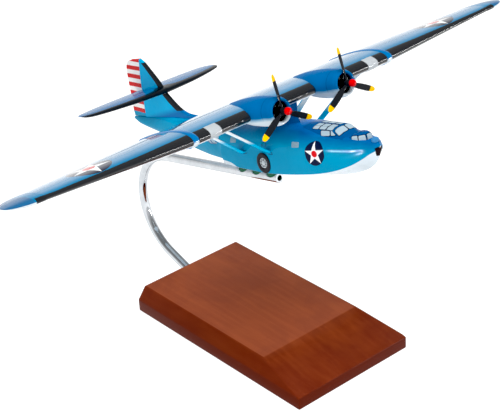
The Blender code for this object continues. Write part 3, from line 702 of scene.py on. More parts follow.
def buildBase():
    half = base["width"] / 2
    top = half - base["chamfer"]
    end = base["length"] / 2
    ridge = -end + base["slopeLength"]
    edge = base["edgeHeight"]
    high = base["height"]
    corners = (
        (-half, -end, 0), (half, -end, 0), (half, end, 0), (-half, end, 0),
        (-half, -end, edge), (half, -end, edge), (half, end, edge), (-half, end, edge),
        (-top, ridge, high), (top, ridge, high), (top, end, high), (-top, end, high),
    )
    faces = (
        (3, 2, 1, 0), (0, 1, 5, 4), (1, 2, 6, 5), (3, 0, 4, 7), (4, 5, 9, 8),
        (5, 6, 10, 9), (7, 4, 8, 11), (8, 9, 10, 11), (2, 3, 7, 11, 10, 6),
    )
    bm = bmesh.new()
    verts = [bm.verts.new(Vector(corner) * mm) for corner in corners]
    for face in faces:
        bm.faces.new([verts[i] for i in face])
    soft = base["softEdge"] * mm
    bmesh.ops.bevel(bm, geom=bm.edges[:], offset=soft, segments=4, profile=0.5, affect="EDGES")
    block = dressed("baseBlock", bm, "mahogany", 30.0, "base_block", standPlace)
    points = armPath(4)
    deeper = points[0] - (points[1] - points[0]).normalized() * 0.6
    bm = bmesh.new()
    skin(bm, tubeRings([deeper, points[1]], base["boreRadius"], 40))
    cutAway(block, [cutter("boreTool", bm, standPlace)])


def buildArm(hull):
    # open tube; its top run is notched three times and takes the keel
    points = armPath(arm["bendSteps"])
    runs = [points[0].lerp(points[1], k / 6) for k in range(6)] + points[1:-1]
    runs += [points[-2].lerp(points[-1], k / 24) for k in range(1, 25)]
    lip = arm["lip"]
    outside = arm["radius"]
    inside = outside - arm["wall"]
    outer = tubeRings(runs, outside)
    inner = tubeRings(runs, inside)
    ends = [tubeRings(runs[-2:], radius)[-1] for radius in (outside - lip, inside + lip)]
    ahead = (runs[-1] - runs[-2]).normalized()
    for rings in (outer, inner):
        rings[-1] = [point - ahead * lip for point in rings[-1]]
    bm = bmesh.new()
    rows = [[bm.verts.new(point * mm) for point in ring] for ring in outer + ends + inner[::-1]]
    bridge(bm, rows + rows[:1])
    tube = dressed("standArm", bm, "chrome", 40.0, "stand_arm", standPlace)
    tools = []
    for k, distance in enumerate(arm["notches"]):
        bm = bmesh.new()
        notch = Matrix.Translation(topRun(distance, arm["notchHeight"]) * mm)
        notch = notch @ Matrix.Rotation(quarterTurn, 4, "Y")
        lathe(bm, ((arm["notchRadius"], -6.0), (arm["notchRadius"], 6.0)), 48, notch)
        tools.append(cutter(f"notchTool{k}", bm, standPlace))
    cutAway(tube, tools, (hull,))
    tube.data.shade_smooth()
    tube.data.set_sharp_from_angle(angle=math.radians(40.0))


def buildFelt():
    # half-round strip of felt laid in the tube's open top, with a slightly uneven pile
    rings = []
    for k in range(felt["steps"] + 1):
        t = k / felt["steps"]
        swell = 1.0 - 0.25 * max(0.0, abs(2.0 * t - 1.0) - 0.95) / 0.05
        ring = []
        for i in range(2 * felt["across"] + 1):
            a = math.radians(felt["halfTurn"]) * (1.0 - i / felt["across"])
            rough = 1.0 + 0.015 * math.sin(7 * a + k * 1.7) + 0.015 * math.sin(k * 0.9 + 3 * a)
            reach = felt["radius"] * swell * rough
            point = topRun(felt["start"] + felt["length"] * t, reach * math.cos(a))
            ring.append(point + Vector((reach * math.sin(a), 0.0, 0.0)))
        rings.append(ring)
    lofted("keelFelt", rings, "felt", 60.0, "keel_felt", standPlace)


# hull: distance aft, height of the deck, half width and its height, half width and
# height of the chine, height of the keel, fullness of the shoulder (low is square)
forebody = (
    (-49.6, -31.4, 1.6, -33.4, 1.5, -35.4, -37.0, 0.9),
    (-48.3, -30.1, 3.4, -33.2, 3.1, -35.9, -39.4, 0.92),
    (-45.5, -28.9, 6.4, -33.6, 6.0, -37.0, -42.6, 0.94),
    (-42.0, -27.9, 9.0, -34.4, 8.9, -38.9, -45.5, 0.94),
    (-34.0, -26.1, 12.5, -35.6, 12.9, -42.1, -49.2, 0.93),
    (-22.0, -24.2, 16.0, -35.4, 17.0, -44.7, -52.0, 0.84),
    (-8.0, -22.3, 18.7, -34.6, 19.5, -46.1, -53.6, 0.74),
    (8.0, -18.6, 19.7, -32.6, 20.8, -46.7, -54.4, 0.8),
    (30.0, -17.0, 20.0, -31.0, 21.2, -46.9, -54.9, 0.86),
    (50.0, -16.8, 19.8, -29.8, 21.0, -46.2, -55.0, 0.86),
    (60.0, -16.6, 19.5, -29.4, 20.6, -45.2, -54.8, 0.86),
    (78.0, -16.4, 18.8, -28.6, 19.6, -43.6, -53.2, 0.86),
    (94.6, -15.9, 17.7, -27.7, 18.4, -41.3, -50.8, 0.86),
)
afterbody = (
    (95.2, -15.9, 17.5, -27.6, 16.9, -38.9, -47.8, 0.86),
    (118.0, -15.0, 15.0, -26.2, 13.0, -36.9, -44.0, 0.86),
    (140.0, -14.2, 12.2, -24.6, 9.4, -33.4, -39.2, 0.86),
    (165.0, -13.2, 9.0, -22.0, 6.0, -28.2, -32.6, 0.86),
    (192.0, -12.4, 5.8, -18.6, 3.8, -22.4, -25.4, 0.86),
    (210.0, -12.2, 3.6, -15.8, 2.4, -17.8, -19.4, 0.86),
    (219.4, -12.2, 1.2, -13.0, 0.9, -13.8, -14.4, 0.86),
)
hullPaint = {
    # where the deck's dark blue gives way to the cyan side
    "deckLine": (
        (-49.0, -34.4), (-42.0, -32.0), (-32.0, -30.4), (-20.0, -28.4), (-3.0, -26.0), (17.0, -23.0),
        (34.0, -20.8), (59.0, -18.1), (74.0, -18.8), (100.0, -18.0), (140.0, -15.0), (155.0, -11.5),
        (168.0, -5.0), (185.0, 0.0), (220.0, 6.0),
    ),
    # how far the white of the bottom climbs above the chine just ahead of the step
    "whiteRise": ((79.0, 0.0), (84.5, 2.2), (94.7, 2.5)), "stepY": 94.8,
}
hullMesh = {
    "fore": 96, "aft": 80, "top": 20, "side": 8, "bottom": 8, "nose": 5,
    "noseRound": 0.55, "sideSwell": 0.5, "hollow": 0.55,
}


def hullRing(station):
    y, deck, half, halfZ, chine, chineZ, keel, full = station
    side = []
    for k in range(hullMesh["top"] + 1):
        t = quarterTurn * k / hullMesh["top"]
        rise = (deck - halfZ) * max(math.cos(t), 0.0) ** full
        side.append((half * math.sin(t) ** full, y, halfZ + rise))
    for k in range(1, hullMesh["side"]):
        part = k / hullMesh["side"]
        x = half + (chine - half) * part + hullMesh["sideSwell"] * math.sin(math.pi * part)
        side.append((x, y, halfZ + (chineZ - halfZ) * part))
    for k in range(hullMesh["bottom"]):
        part = k / hullMesh["bottom"]
        hollow = hullMesh["hollow"] * math.sin(math.pi * part) * min(1.0, chine / 12.0)
        side.append((chine * (1 - part), y, chineZ + (keel - chineZ) * part + hollow))
    return side + [(0.0, y, keel)] + otherSide(side[1:])


def stationsAlong(table, count):
    start = table[0][0]
    run = table[-1][0] - start
    made = []
    for k in range(count + 1):
        t = k / count
        y = start + run * (0.5 * t + 0.5 * t * t if start < 0.0 else 1.5 * t - 0.5 * t * t)
        made.append((y, *rowAt(table, y)))
    return made


def buildHull():
    rows = stationsAlong(forebody, hullMesh["fore"]) + stationsAlong(afterbody, hullMesh["aft"])
    nose = rows[0]
    middle = (nose[1] + nose[6]) / 2
    rings = []
    for k in range(hullMesh["nose"]):
        t = quarterTurn * k / hullMesh["nose"]
        small = max(math.sin(t), 0.12)
        ahead = hullMesh["noseRound"] * math.cos(t)
        rings.append([(x * small, y - ahead, middle + (z - middle) * small) for x, y, z in hullRing(nose)])
    rings += [hullRing(row) for row in rows]
    chines = [nose[5]] * hullMesh["nose"] + [row[5] for row in rows]

    def marks(ringIndex, pointIndex, point):
        x, y, z = point
        white = chines[ringIndex]
        if y < hullPaint["stepY"]:
            white += straight(hullPaint["whiteRise"], y)
        return {"fromDeck": z - through(hullPaint["deckLine"], y), "fromChine": z - white}

    return lofted("hull", rings, "hull", 28.0, "hull", marks=marks)


turret = {
    "levels": (
        ((2.5, -43.3, -33.3), (5.9, -37.7, -33.0), (6.9, -33.0, -33.0), (6.6, -28.5, -33.0)),
        ((2.2, -43.0, -25.5), (5.2, -37.5, -25.8), (6.2, -33.0, -25.9), (5.8, -28.5, -26.8)),
        ((1.8, -42.3, -24.3), (4.4, -37.2, -24.3), (5.4, -33.0, -24.6), (5.0, -29.0, -25.8)),
        ((0.9, -40.6, -23.7), (2.4, -36.6, -23.4), (3.0, -33.2, -23.9), (2.8, -30.0, -25.2)),
    ),
    "softEdge": 0.4, "paneProud": 0.1, "paneSquare": 8.0,
    "panes": (
        ((-6.0, -33.0, -24.9), (-4.9, -37.2, -24.9), (-6.0, -37.6, -29.2), (-7.0, -33.0, -29.6)),
        ((-4.7, -38.0, -25.1), (-2.6, -42.1, -24.9), (-3.1, -42.6, -29.2), (-5.6, -38.2, -29.2)),
    ),
    "frontPane": ((-1.75, -42.7, -24.9), (1.75, -42.7, -24.9), (2.3, -43.4, -29.2), (-2.3, -43.4, -29.2)),
}
canopy = {
    # distance aft, height of the roof, half width and drop of the shoulder, half width of the foot
    "sections": (
        (-29.4, -25.2, 6.6, 1.7, 9.4), (-25.2, -22.3, 7.2, 1.7, 10.2), (-20.8, -19.3, 7.0, 1.5, 11.0),
        (-8.0, -18.2, 7.8, 1.7, 12.4), (4.0, -17.5, 8.4, 1.9, 13.4), (12.0, -17.3, 8.4, 1.9, 13.8),
    ),
    "footZ": -27.0, "bottomZ": -31.0, "sweep": 1.2, "sweptAhead": -15.0, "softEdge": 0.5,
    "paneProud": 0.1, "roofProud": 0.08, "paneSquare": 7.0,
    "panes": {
        "windshield": (
            (-7.3, -19.4, -20.9), (-0.45, -20.9, -19.4), (-0.45, -25.0, -22.2), (-8.1, -23.4, -23.9),
        ),
        "side": ((-8.0, -7.0, -20.6), (-7.7, -14.8, -20.7), (-9.2, -15.6, -23.6), (-9.7, -8.2, -23.6)),
        "quarter": ((-7.6, -15.9, -20.8), (-7.4, -16.9, -21.0), (-8.3, -20.6, -23.6), (-9.0, -16.6, -23.6)),
    },
    "roofRows": ((1.0, 4.6), (5.0, 8.0)), "roofY": ((-17.2, -11.6), (-10.6, -4.8), (-3.8, 1.6)),
    "roofZ": (-18.0, -18.6),
}


def glazedBody(name, rings, softEdge, angle, node):
    # painted body with bevelled edges, and the surface that its panes lie on
    bm = bmesh.new()
    skin(bm, rings)
    edges = [e for e in bm.edges if len(e.link_faces) == 2 and e.calc_face_angle() > math.radians(angle)]
    bmesh.ops.bevel(
        bm, geom=edges, offset=softEdge * mm, segments=3, profile=0.5, affect="EDGES", clamp_overlap=True,
    )
    return surfaceOf(dressed(name, bm, "deck", 50.0, node))


def buildTurret():
    rings = [list(level) + otherSide(level) for level in turret["levels"]]
    surface = glazedBody("bowTurret", rings, turret["softEdge"], 15.0, "bow_turret")
    shape = turret["paneProud"], turret["paneSquare"]
    plate("turretPane_front", surface, turret["frontPane"], "pane", *shape)
    for k, corners in enumerate(turret["panes"]):
        for side, sign in sides:
            plate(f"turretPane{k}_{side}", surface, mirrored(corners, sign), "pane", *shape)


def buildCanopy():
    rings = []
    for y, roof, shoulder, drop, foot in canopy["sections"]:
        half = [(0.0, roof), (shoulder * 0.62, roof - 0.25 * drop), (shoulder, roof - drop)]
        half.append((foot, canopy["footZ"]))
        ring = half + [(0.0, canopy["bottomZ"])] + [(-x, z) for x, z in reversed(half[1:])]
        back = canopy["sweep"] if y < canopy["sweptAhead"] else 0.0
        rings.append([(x, y + back * (x / shoulder) ** 2, z) for x, z in ring])
    surface = glazedBody("cockpitCanopy", rings, canopy["softEdge"], 12.0, "cockpit_canopy")
    nearZ, farZ = canopy["roofZ"]
    square = canopy["paneSquare"]
    for side, sign in sides:
        for part, corners in canopy["panes"].items():
            name = f"{part}Pane_{side}"
            plate(name, surface, mirrored(corners, sign), "pane", canopy["paneProud"], square)
        for row, (near, far) in enumerate(canopy["roofRows"]):
            for k, (front, back) in enumerate(canopy["roofY"]):
                corners = ((near, front, nearZ), (far, front, farZ), (far, back, farZ), (near, back, nearZ))
                name = f"roofPane{row}{k}_{side}"
                plate(name, surface, mirrored(corners, sign), "pane", canopy["roofProud"], square)


hullBits = {
    "bowPane": ((-3.7, -54.0, -33.6), (3.7, -54.0, -33.6), (1.7, -54.0, -39.6), (-1.7, -54.0, -39.6)),
    "windows": {
        "frontWindow": (
            (-19.0, 6.1, -24.2), (-19.0, 13.1, -24.2), (-19.0, 13.3, -28.5), (-19.0, 6.3, -28.4),
        ),
        "rearWindow": (
            (-18.6, 73.6, -21.4), (-18.6, 80.4, -21.4), (-18.6, 80.8, -26.0), (-18.6, 74.0, -25.9),
        ),
    },
    "bowShape": (0.14, 6.0), "windowShape": (0.09, 9.0),
    "capCentre": (0.0, -47.4, -29.2), "capRadii": (2.9, 2.4, 2.1),
}
blister = {
    "centre": (14.4, 102.0, -24.2), "radii": (5.8, 7.5, 3.9),
    "ribs": (-0.62, -0.2, 0.2, 0.62), "ribWidth": 0.35, "ribProud": 0.14, "ribDeep": 0.3,
}


def ball(name, centre, radii, finish, node, around=48, rings=28):
    bm = bmesh.new()
    for vert in bmesh.ops.create_uvsphere(bm, u_segments=around, v_segments=rings, radius=1.0)["verts"]:
        vert.co = Vector([(c + p * r) * mm for c, p, r in zip(centre, vert.co, radii)])
    dressed(name, bm, finish, node=node)


def buildHullBits(surface):
    proud, square = hullBits["bowShape"]
    aft = (0.0, 1.0, 0.0)
    bow = plate("bowWindow", surface, hullBits["bowPane"], "bowPane", proud, square, False, aft)
    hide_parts("bow_window")
    ball("bowCap", hullBits["capCentre"], hullBits["capRadii"], "cap", "bow_cap")
    for side, sign in sides:
        for part, corners in hullBits["windows"].items():
            proud, square = hullBits["windowShape"]
            plate(f"{part}_{side}", surface, mirrored(corners, sign), "window", proud, square, False)


def buildBlister(side, sign):
    # clear dome printed in silver, with raised frames across it
    cx, cy, cz = blister["centre"]
    rx, ry, rz = blister["radii"]
    ball("waistBlister_" + side, (sign * cx, cy, cz), (rx, ry, rz), "pane", "waist_blister_" + side, 64, 36)
    wide = Vector((0.0, blister["ribWidth"], 0.0))
    bm = bmesh.new()
    for part in blister["ribs"]:
        size = math.sqrt(1.0 - part * part)
        rings = []
        for k in range(41):
            a = -quarterTurn + math.pi * k / 40
            across = Vector((sign * rx * size * math.cos(a), 0.0, rz * size * math.sin(a)))
            out = Vector((sign * math.cos(a) / rx, 0.0, math.sin(a) / rz)).normalized()
            spot = Vector((sign * cx, cy + ry * part, cz)) + across
            high = out * blister["ribProud"]
            deep = out * blister["ribDeep"]
            rings.append([spot - wide + high, spot + wide + high, spot + wide - deep, spot - wide - deep])
        skin(bm, rings)
    dressed("blisterRibs_" + side, bm, "deck")


# thin printed outlines on the hull: the retraction gear's recess and its two small fairings
outlines = {
    "width": 0.34, "proud": 0.05, "step": 0.8,
    "runs": (
        ((44.0, -24.4), (40.4, -24.4), (40.4, -27.2), (44.0, -27.2), (44.0, -24.4)),
        ((44.6, -25.8), (45.6, -29.6)),
        ((39.4, -30.2), (35.0, -31.8), (34.2, -33.0), (39.0, -32.8)),
        ((63.0, -30.4), (67.4, -31.4), (66.6, -33.2), (62.4, -32.4)),
    ),
}
outsideHull = 22.0  # from this far out, the nearest point of the hull is on its side


def buildWheel(side, sign, surface):
    at = Vector((sign * outsideHull, wheel["y"], wheel["z"])) * mm
    near, normal, _, _ = surface.find_nearest(at)
    turn = normal.to_track_quat("Z", "Y").to_matrix().to_4x4()
    place = airPlace @ Matrix.Translation(near) @ turn
    r = wheel["radius"]
    hub = wheel["hubRadius"]
    profile = [(0.0, -0.7), (r - 0.5, -0.7), (r - 0.05, -0.2), (r, 0.1)]
    for k in range(1, 13):
        a = math.pi * k / 12
        profile.append(((r + hub) / 2 + (r - hub) / 2 * math.cos(a), 0.1 + 0.55 * math.sin(a)))
    profile += [(hub - 0.15, 0.02), (0.0, 0.02)]
    lathed("wheelTyre_" + side, profile, 72, "tyre", 45.0, "wheel_disc_" + side, place)
    profile = (
        (0.0, -0.1), (hub - 0.2, -0.1), (hub - 0.2, 0.3), (hub - 0.45, 0.46), (hub - 0.9, 0.4),
        (1.3, 0.42), (1.1, 0.62), (0.5, 0.72), (0.0, 0.74),
    )
    disc = lathed("wheelHub_" + side, profile, 64, "wheelHub", 30.0, place=place)
    bm = bmesh.new()
    for k in range(wheel["holes"]):
        a = fullTurn * (k + 0.5) / wheel["holes"]
        at = Vector((wheel["holeCircle"] * math.cos(a), wheel["holeCircle"] * math.sin(a), 0.0)) * mm
        lathe(bm, ((wheel["holeRadius"], -0.6), (wheel["holeRadius"], 1.5)), 20, Matrix.Translation(at))
    cutAway(disc, [cutter("holeTool", bm, place)])


def buildOutlines(side, sign, surface):
    proud = outlines["proud"]
    bm = bmesh.new()
    for run in outlines["runs"]:
        for (y0, z0), (y1, z1) in zip(run, run[1:]):
            along = Vector((0.0, y1 - y0, z1 - z0))
            across = Vector((0.0, -along.z, along.y)).normalized() * outlines["width"] / 2
            steps = max(2, int(along.length / outlines["step"]))
            rings = []
            for k in range(steps + 1):
                spot = Vector((sign * outsideHull, y0, z0)) + along * k / steps
                ring = []
                for shift, lift in ((-1, -proud), (-1, proud), (1, proud), (1, -proud)):
                    near, normal, _, _ = surface.find_nearest((spot + across * shift) * mm)
                    ring.append(near / mm + normal * lift)
                rings.append(ring)
            skin(bm, rings)
    dressed("gearOutline_" + side, bm, "line", 50.0)


wing = {
    "halfSpan": 220.2, "leadingEdge": 18.0, "chord": 62.5, "thickness": 0.185, "camber": 0.012,
    "points": 44, "jointX": 87.0, "tipX": 197.0, "tipChord": 35.0, "tipLift": 2.8, "tipRise": 0.7,
    "tipRoundY": 36.5, "tipCamber": 0.01, "tipThickness": 0.15,
    "bandWidth": 4.6, "bandHeight": 0.55,
    "outerLead": ((87.0, 18.0), (120.0, 19.8), (152.0, 21.6), (180.0, 22.8), (200.0, 23.8)),
    "bootEdge": (
        (0.0, 24.3), (60.0, 24.2), (87.0, 24.1), (120.0, 23.7), (155.0, 24.3), (190.0, 25.2),
        (204.0, 26.6), (206.0, 10.0),
    ),
    "bootBelow": 1.7, "bootEnd": 204.5, "aileron": (122.0, 190.0), "aileronChord": 0.26,
    "lampIn": 66.0, "lampOut": 75.4, "lampBack": 25.4, "lampProud": 0.16,
}


def airfoil(x, chord, lead, height, thickness, grow=0.0, camber=wing["camber"], points=wing["points"]):
    # from the trailing edge over the top to the leading edge and back below
    top = []
    bottom = []
    for k in range(points + 1):
        c = 0.5 * (1.0 - math.cos(math.pi * k / points))
        half = 5 * thickness * (
            0.2969 * math.sqrt(c) - 0.126 * c - 0.3516 * c**2 + 0.2843 * c**3 - 0.0985 * c**4
        )
        mean = 4 * camber * c * (1.0 - c)
        y = lead + c * chord - grow * math.cos(math.pi * c)
        top.append((x, y, height + (mean + half) * chord + grow))
        bottom.append((x, y, height + (mean - half) * chord - grow))
    top[0] = (x, lead - grow, height)
    return top[::-1] + bottom[1:]


def wingPlace(x):
    # leading edge, chord and height of the wing, and how far out it is from joint to tip
    out = abs(x)
    if out <= wing["jointX"]:
        return wing["leadingEdge"], wing["chord"], 0.0, 0.0
    t = (out - wing["jointX"]) / (wing["tipX"] - wing["jointX"])
    lead = through(wing["outerLead"], out)
    back = wing["leadingEdge"] + wing["chord"]
    tipBack = through(wing["outerLead"], wing["tipX"]) + wing["tipChord"]
    return lead, back + (tipBack - back) * t - lead, wing["tipLift"] * t, t


def wingRing(x, grow=0.0):
    lead, chord, height, t = wingPlace(x)
    return airfoil(x, chord, lead, height, wing["thickness"] * (1.0 - 0.2 * t), grow)


def skinSide(pointIndex, half):
    # 1 on the upper skin of an airfoil, 0 at its leading edge, -1 below
    return 1.0 if pointIndex < half else (0.0 if pointIndex == half else -1.0)


def wingMarks(leads):
    # stored for the paint: which skin, how far behind the boot, how far from the aileron's hinge
    def marks(ringIndex, pointIndex, point):
        x, y, z = point
        lead, chord = leads[ringIndex]
        upper = skinSide(pointIndex, wing["points"])
        edge = straight(wing["bootEdge"], abs(x)) if upper > 0 else lead + wing["bootBelow"]
        if abs(x) > wing["bootEnd"]:
            edge = lead - 5.0
        hinge = 9.0
        if wing["aileron"][0] < abs(x) < wing["aileron"][1]:
            hinge = y - (lead + chord * (1.0 - wing["aileronChord"]))
        return {"skinSide": upper, "bootAft": y - edge, "fromHinge": hinge}

    return marks


def wingPanel(name, xs, node):
    leads = [wingPlace(x)[:2] for x in xs]
    lofted(name, [wingRing(x) for x in xs], "wing", 30.0, node, marks=wingMarks(leads))


def buildTip(side, sign):
    # the float folded up against the wing forms the rounded tip
    start = wing["tipX"]
    middle = wing["tipRoundY"]
    lead, chord, height, _ = wingPlace(start)
    rings = []
    leads = []
    for k in range(29):
        t = math.sin(quarterTurn * k / 28)
        x = start + (wing["halfSpan"] - start) * t
        shrink = math.sqrt(max(1.0 - t**2.2, 0.0004))
        front = middle - (middle - lead + 0.1) * shrink
        back = middle + (lead + chord - middle) * shrink
        thickness = wing["tipThickness"] * (0.55 + 0.45 * shrink) * (1.0 + 0.25 * t * (1.0 - t))
        rise = height + wing["tipRise"] * t * t
        rings.append(airfoil(sign * x, back - front, front, rise, thickness, camber=wing["tipCamber"]))
        leads.append((front, back - front))
    lofted("tipFloat_" + side, rings, "tip", 30.0, "tip_float_" + side, marks=wingMarks(leads))


def buildLamp(side, sign):
    # glass cover let into the leading edge
    rings = []
    for k in range(11):
        x = wing["lampIn"] + (wing["lampOut"] - wing["lampIn"]) * k / 10
        proud = wing["lampProud"] if 0 < k < 10 else 0.02
        ring = [point for point in wingRing(sign * x, proud) if point[1] < wing["lampBack"]]
        inside = [(px, wing["lampBack"] - 1.0, pz * 0.4 + 0.4) for px, py, pz in (ring[-1], ring[0])]
        rings.append(ring + inside)
    lofted("landingLamp_" + side, rings, "silver", 30.0, "landing_lamp_" + side)


def buildBand(side, sign):
    # raised joint strap, rounded across its width
    lead, chord, height, _ = wingPlace(wing["jointX"])
    rings = []
    for k in range(13):
        part = k / 6 - 1.0
        x = wing["jointX"] + wing["bandWidth"] / 2 * part
        grow = wing["bandHeight"] * (1.0 - abs(part) ** 3.5) + 0.02
        rings.append(airfoil(sign * x, chord, lead, height, wing["thickness"], grow))
    lofted("jointBand_" + side, rings, "band", 40.0, "joint_band_" + side)


def buildWing():
    inner = wing["jointX"]
    span = wing["tipX"] - inner
    wingPanel("wingCentre", [-inner + 2 * inner * k / 48 for k in range(49)], "wing_centre")
    for side, sign in sides:
        xs = [sign * (inner + span * k / 44) for k in range(45)]
        wingPanel("wingOuter_" + side, xs, "wing_outer_" + side)
        buildTip(side, sign)
        buildLamp(side, sign)
        buildBand(side, sign)


# height, front edge, back edge, half width
pylon = (
    (-22.0, 22.0, 68.0, 6.4), (-16.5, 23.6, 66.0, 5.8), (-12.0, 24.0, 64.6, 5.4),
    (-7.0, 22.2, 64.0, 5.3), (0.6, 21.2, 65.5, 5.8),
)
struts = {
    "front": ((20.4, 40.0, -31.0), (58.8, 25.4, -3.7)), "rear": ((19.6, 69.4, -32.4), (55.5, 61.5, -4.0)),
    "chord": 6.8, "thickness": 2.4, "around": 28,
    "shares": (-0.05, 1.07), "flare": 3.5, "flareShare": 0.06,
}


def buildPylon():
    rings = []
    for k in range(25):
        z = pylon[0][0] + (pylon[-1][0] - pylon[0][0]) * k / 24
        front, back, half = rowAt(pylon, z)
        rings.append([(half * s, (front + back) / 2 - (back - front) / 2 * c, z) for c, s in circle(64)])
    lofted("wingPylon", rings, "deck", 50.0, "wing_pylon")


def buildStrut(which, side, sign):
    foot, top = (Vector(end) for end in struts[which])
    around = circle(struts["around"])
    start, end = struts["shares"]
    rings = []
    for k in range(13):
        t = start + (end - start) * k / 12
        centre = foot + (top - foot) * t
        flare = 1.0 + struts["flare"] * max(0.0, struts["flareShare"] - min(t, 1.0 - t))
        ring = []
        for c, s in around:
            thick = struts["thickness"] / 2 * flare * s * (1.0 + 0.25 * c)
            y = centre.y - struts["chord"] / 2 * flare * c
            ring.append((sign * (centre.x + thick * 0.5), y, centre.z + thick))
        rings.append(ring)

    def marks(ringIndex, pointIndex, point):
        return {"chordShare": -around[pointIndex][0]}

    lofted(f"{which}Strut_{side}", rings, "strut", 50.0, f"{which}_strut_{side}", marks=marks)


engine = {
    "x": 28.9, "front": 1.2, "lip": 1.0, "mouth": 6.8, "cowlRim": 8.6, "mouthDepths": (9.6, 8.0, 6.0, 4.6),
    "cowlStart": 3.5, "tailY": 52.0, "tailRound": 2.4, "around": 72,
    "caseFront": 3.4, "shaftRadius": 0.9, "cylinders": 7, "cylinderY": 6.6, "fins": 8,
    # distance aft, half width, height of the top and of the bottom
    "profile": (
        (2.6, 8.4, 8.4, -8.4), (3.3, 9.1, 9.1, -9.1), (5.0, 9.6, 9.6, -9.6), (9.0, 10.2, 9.8, -9.8),
        (14.0, 11.6, 9.9, -9.7), (18.0, 12.9, 9.9, -9.5), (24.0, 13.4, 9.8, -8.9), (34.0, 12.0, 9.2, -7.4),
        (43.0, 9.0, 8.0, -5.4), (52.0, 4.0, 6.2, -3.4),
    ),
}
propeller = {
    "radius": 24.8, "phase": 91.9, "blades": 3, "hubFront": 7.8, "hubRadius": 2.6, "hubBack": -1.0,
    "barrelFront": 4.7, "bore": 1.2, "tipFrom": 21.5, "tipChord": 3.8, "tipReach": 3.32,
    # distance out, chord, thickness, twist in degrees
    "outline": (
        (1.6, 1.9, 1.7, 50.0), (4.5, 2.2, 1.5, 42.0), (8.0, 3.9, 1.1, 34.0), (14.0, 4.4, 0.9, 27.0),
        (19.0, 4.2, 0.75, 23.0), (22.4, 3.6, 0.65, 21.0), (24.1, 2.4, 0.55, 20.0), (24.8, 0.9, 0.45, 20.0),
    ),
    # radius and distance out of the sleeve round a blade's root
    "cuff": ((1.05, 1.6), (1.05, 3.5), (1.25, 3.6), (1.25, 4.2), (1.0, 4.4), (0.9, 5.2), (0.2, 5.3)),
}


def enginePlace(sign):
    return airPlace @ Matrix.Translation((sign * engine["x"] * mm, 0.0, 0.0))


def roundRing(radius, y, centreX):
    return [(centreX + radius * s, y, radius * c) for c, s in circle(engine["around"])]


def nacelleRing(y, centreX):
    half, top, bottom = rowAt(engine["profile"], y)
    middle = (top + bottom) / 2
    tall = (top - bottom) / 2
    return [(centreX + half * s, y, middle + tall * c) for c, s in circle(engine["around"])]


def buildNacelle(side, sign):
    x = sign * engine["x"]
    mouth = engine["mouth"]
    rim = engine["cowlRim"]
    rings = [roundRing(mouth, y, x) for y in engine["mouthDepths"]]
    for k in range(11):
        a = math.pi * k / 10
        radius = (mouth + rim) / 2 - (rim - mouth) / 2 * math.cos(a)
        rings.append(roundRing(radius, engine["front"] + engine["lip"] * (1.0 - math.sin(a)), x))
    for k in range(1, 50):
        t = k / 49
        run = engine["tailY"] - engine["cowlStart"]
        rings.append(nacelleRing(engine["cowlStart"] + run * (0.4 * t + 0.6 * t * t), x))
    last = [Vector(point) for point in rings[-1]]
    middle = last[0].lerp(last[engine["around"] // 2], 0.5)
    for k in range(1, 7):
        a = quarterTurn * k / 6
        centre = middle + Vector((0.0, engine["tailRound"] * math.sin(a), 0.0))
        rings.append([centre + (point - middle) * max(math.cos(a), 0.03) for point in last])

    def marks(ringIndex, pointIndex, point):
        return {"inMouth": 1.0 if ringIndex < len(engine["mouthDepths"]) else 0.0}

    lofted("nacelle_" + side, rings, "nacelle", 45.0, "nacelle_" + side, marks=marks)


def buildEngine(side, sign):
    # crankcase, seven finned cylinders and the fixed shaft that the propeller turns on
    place = enginePlace(sign) @ Matrix.Rotation(quarterTurn, 4, "X")
    shaft = engine["shaftRadius"]
    case = -engine["caseFront"]
    profile = (
        (0.0, 2.0), (shaft, 1.9), (shaft, case), (1.8, case), (2.4, case - 0.5), (2.9, case - 1.6),
        (3.1, -8.8), (6.7, -8.8), (6.7, -9.4), (0.0, -9.4),
    )
    lathed("engineCase_" + side, profile, 48, "black", 35.0, "engine_" + side, place)
    profile = [(0.0, 2.4)]
    for k in range(engine["fins"]):
        out = 2.5 + k * 0.48
        profile += [(1.25, out), (1.25, out + 0.24), (1.02, out + 0.26), (1.02, out + 0.46)]
    profile += [(1.1, 6.5), (0.8, 6.7), (0.0, 6.75)]
    bm = bmesh.new()
    for k in range(engine["cylinders"]):
        turn = Matrix.Rotation(fullTurn * k / engine["cylinders"], 4, "Z")
        back = Matrix.Translation((0.0, 0.0, -engine["cylinderY"] * mm))
        lathe(bm, profile, 20, turn @ back @ Matrix.Rotation(quarterTurn, 4, "Y"))
    dressed("engineCylinders_" + side, bm, "metal", 30.0, place=place)


def bladeRing(distance, chord, thickness, twist):
    # section of a blade that stands on z, its width across x; flat-bottomed, with a rounded nose
    a = math.radians(twist)
    ring = []
    for c, s in circle(28):
        across = chord / 2 * c
        along = thickness / 2 * s * (1.0 + 0.25 * c)
        x = across * math.cos(a) - along * math.sin(a)
        ring.append(Vector((x, across * math.sin(a) + along * math.cos(a), distance)))
    return ring


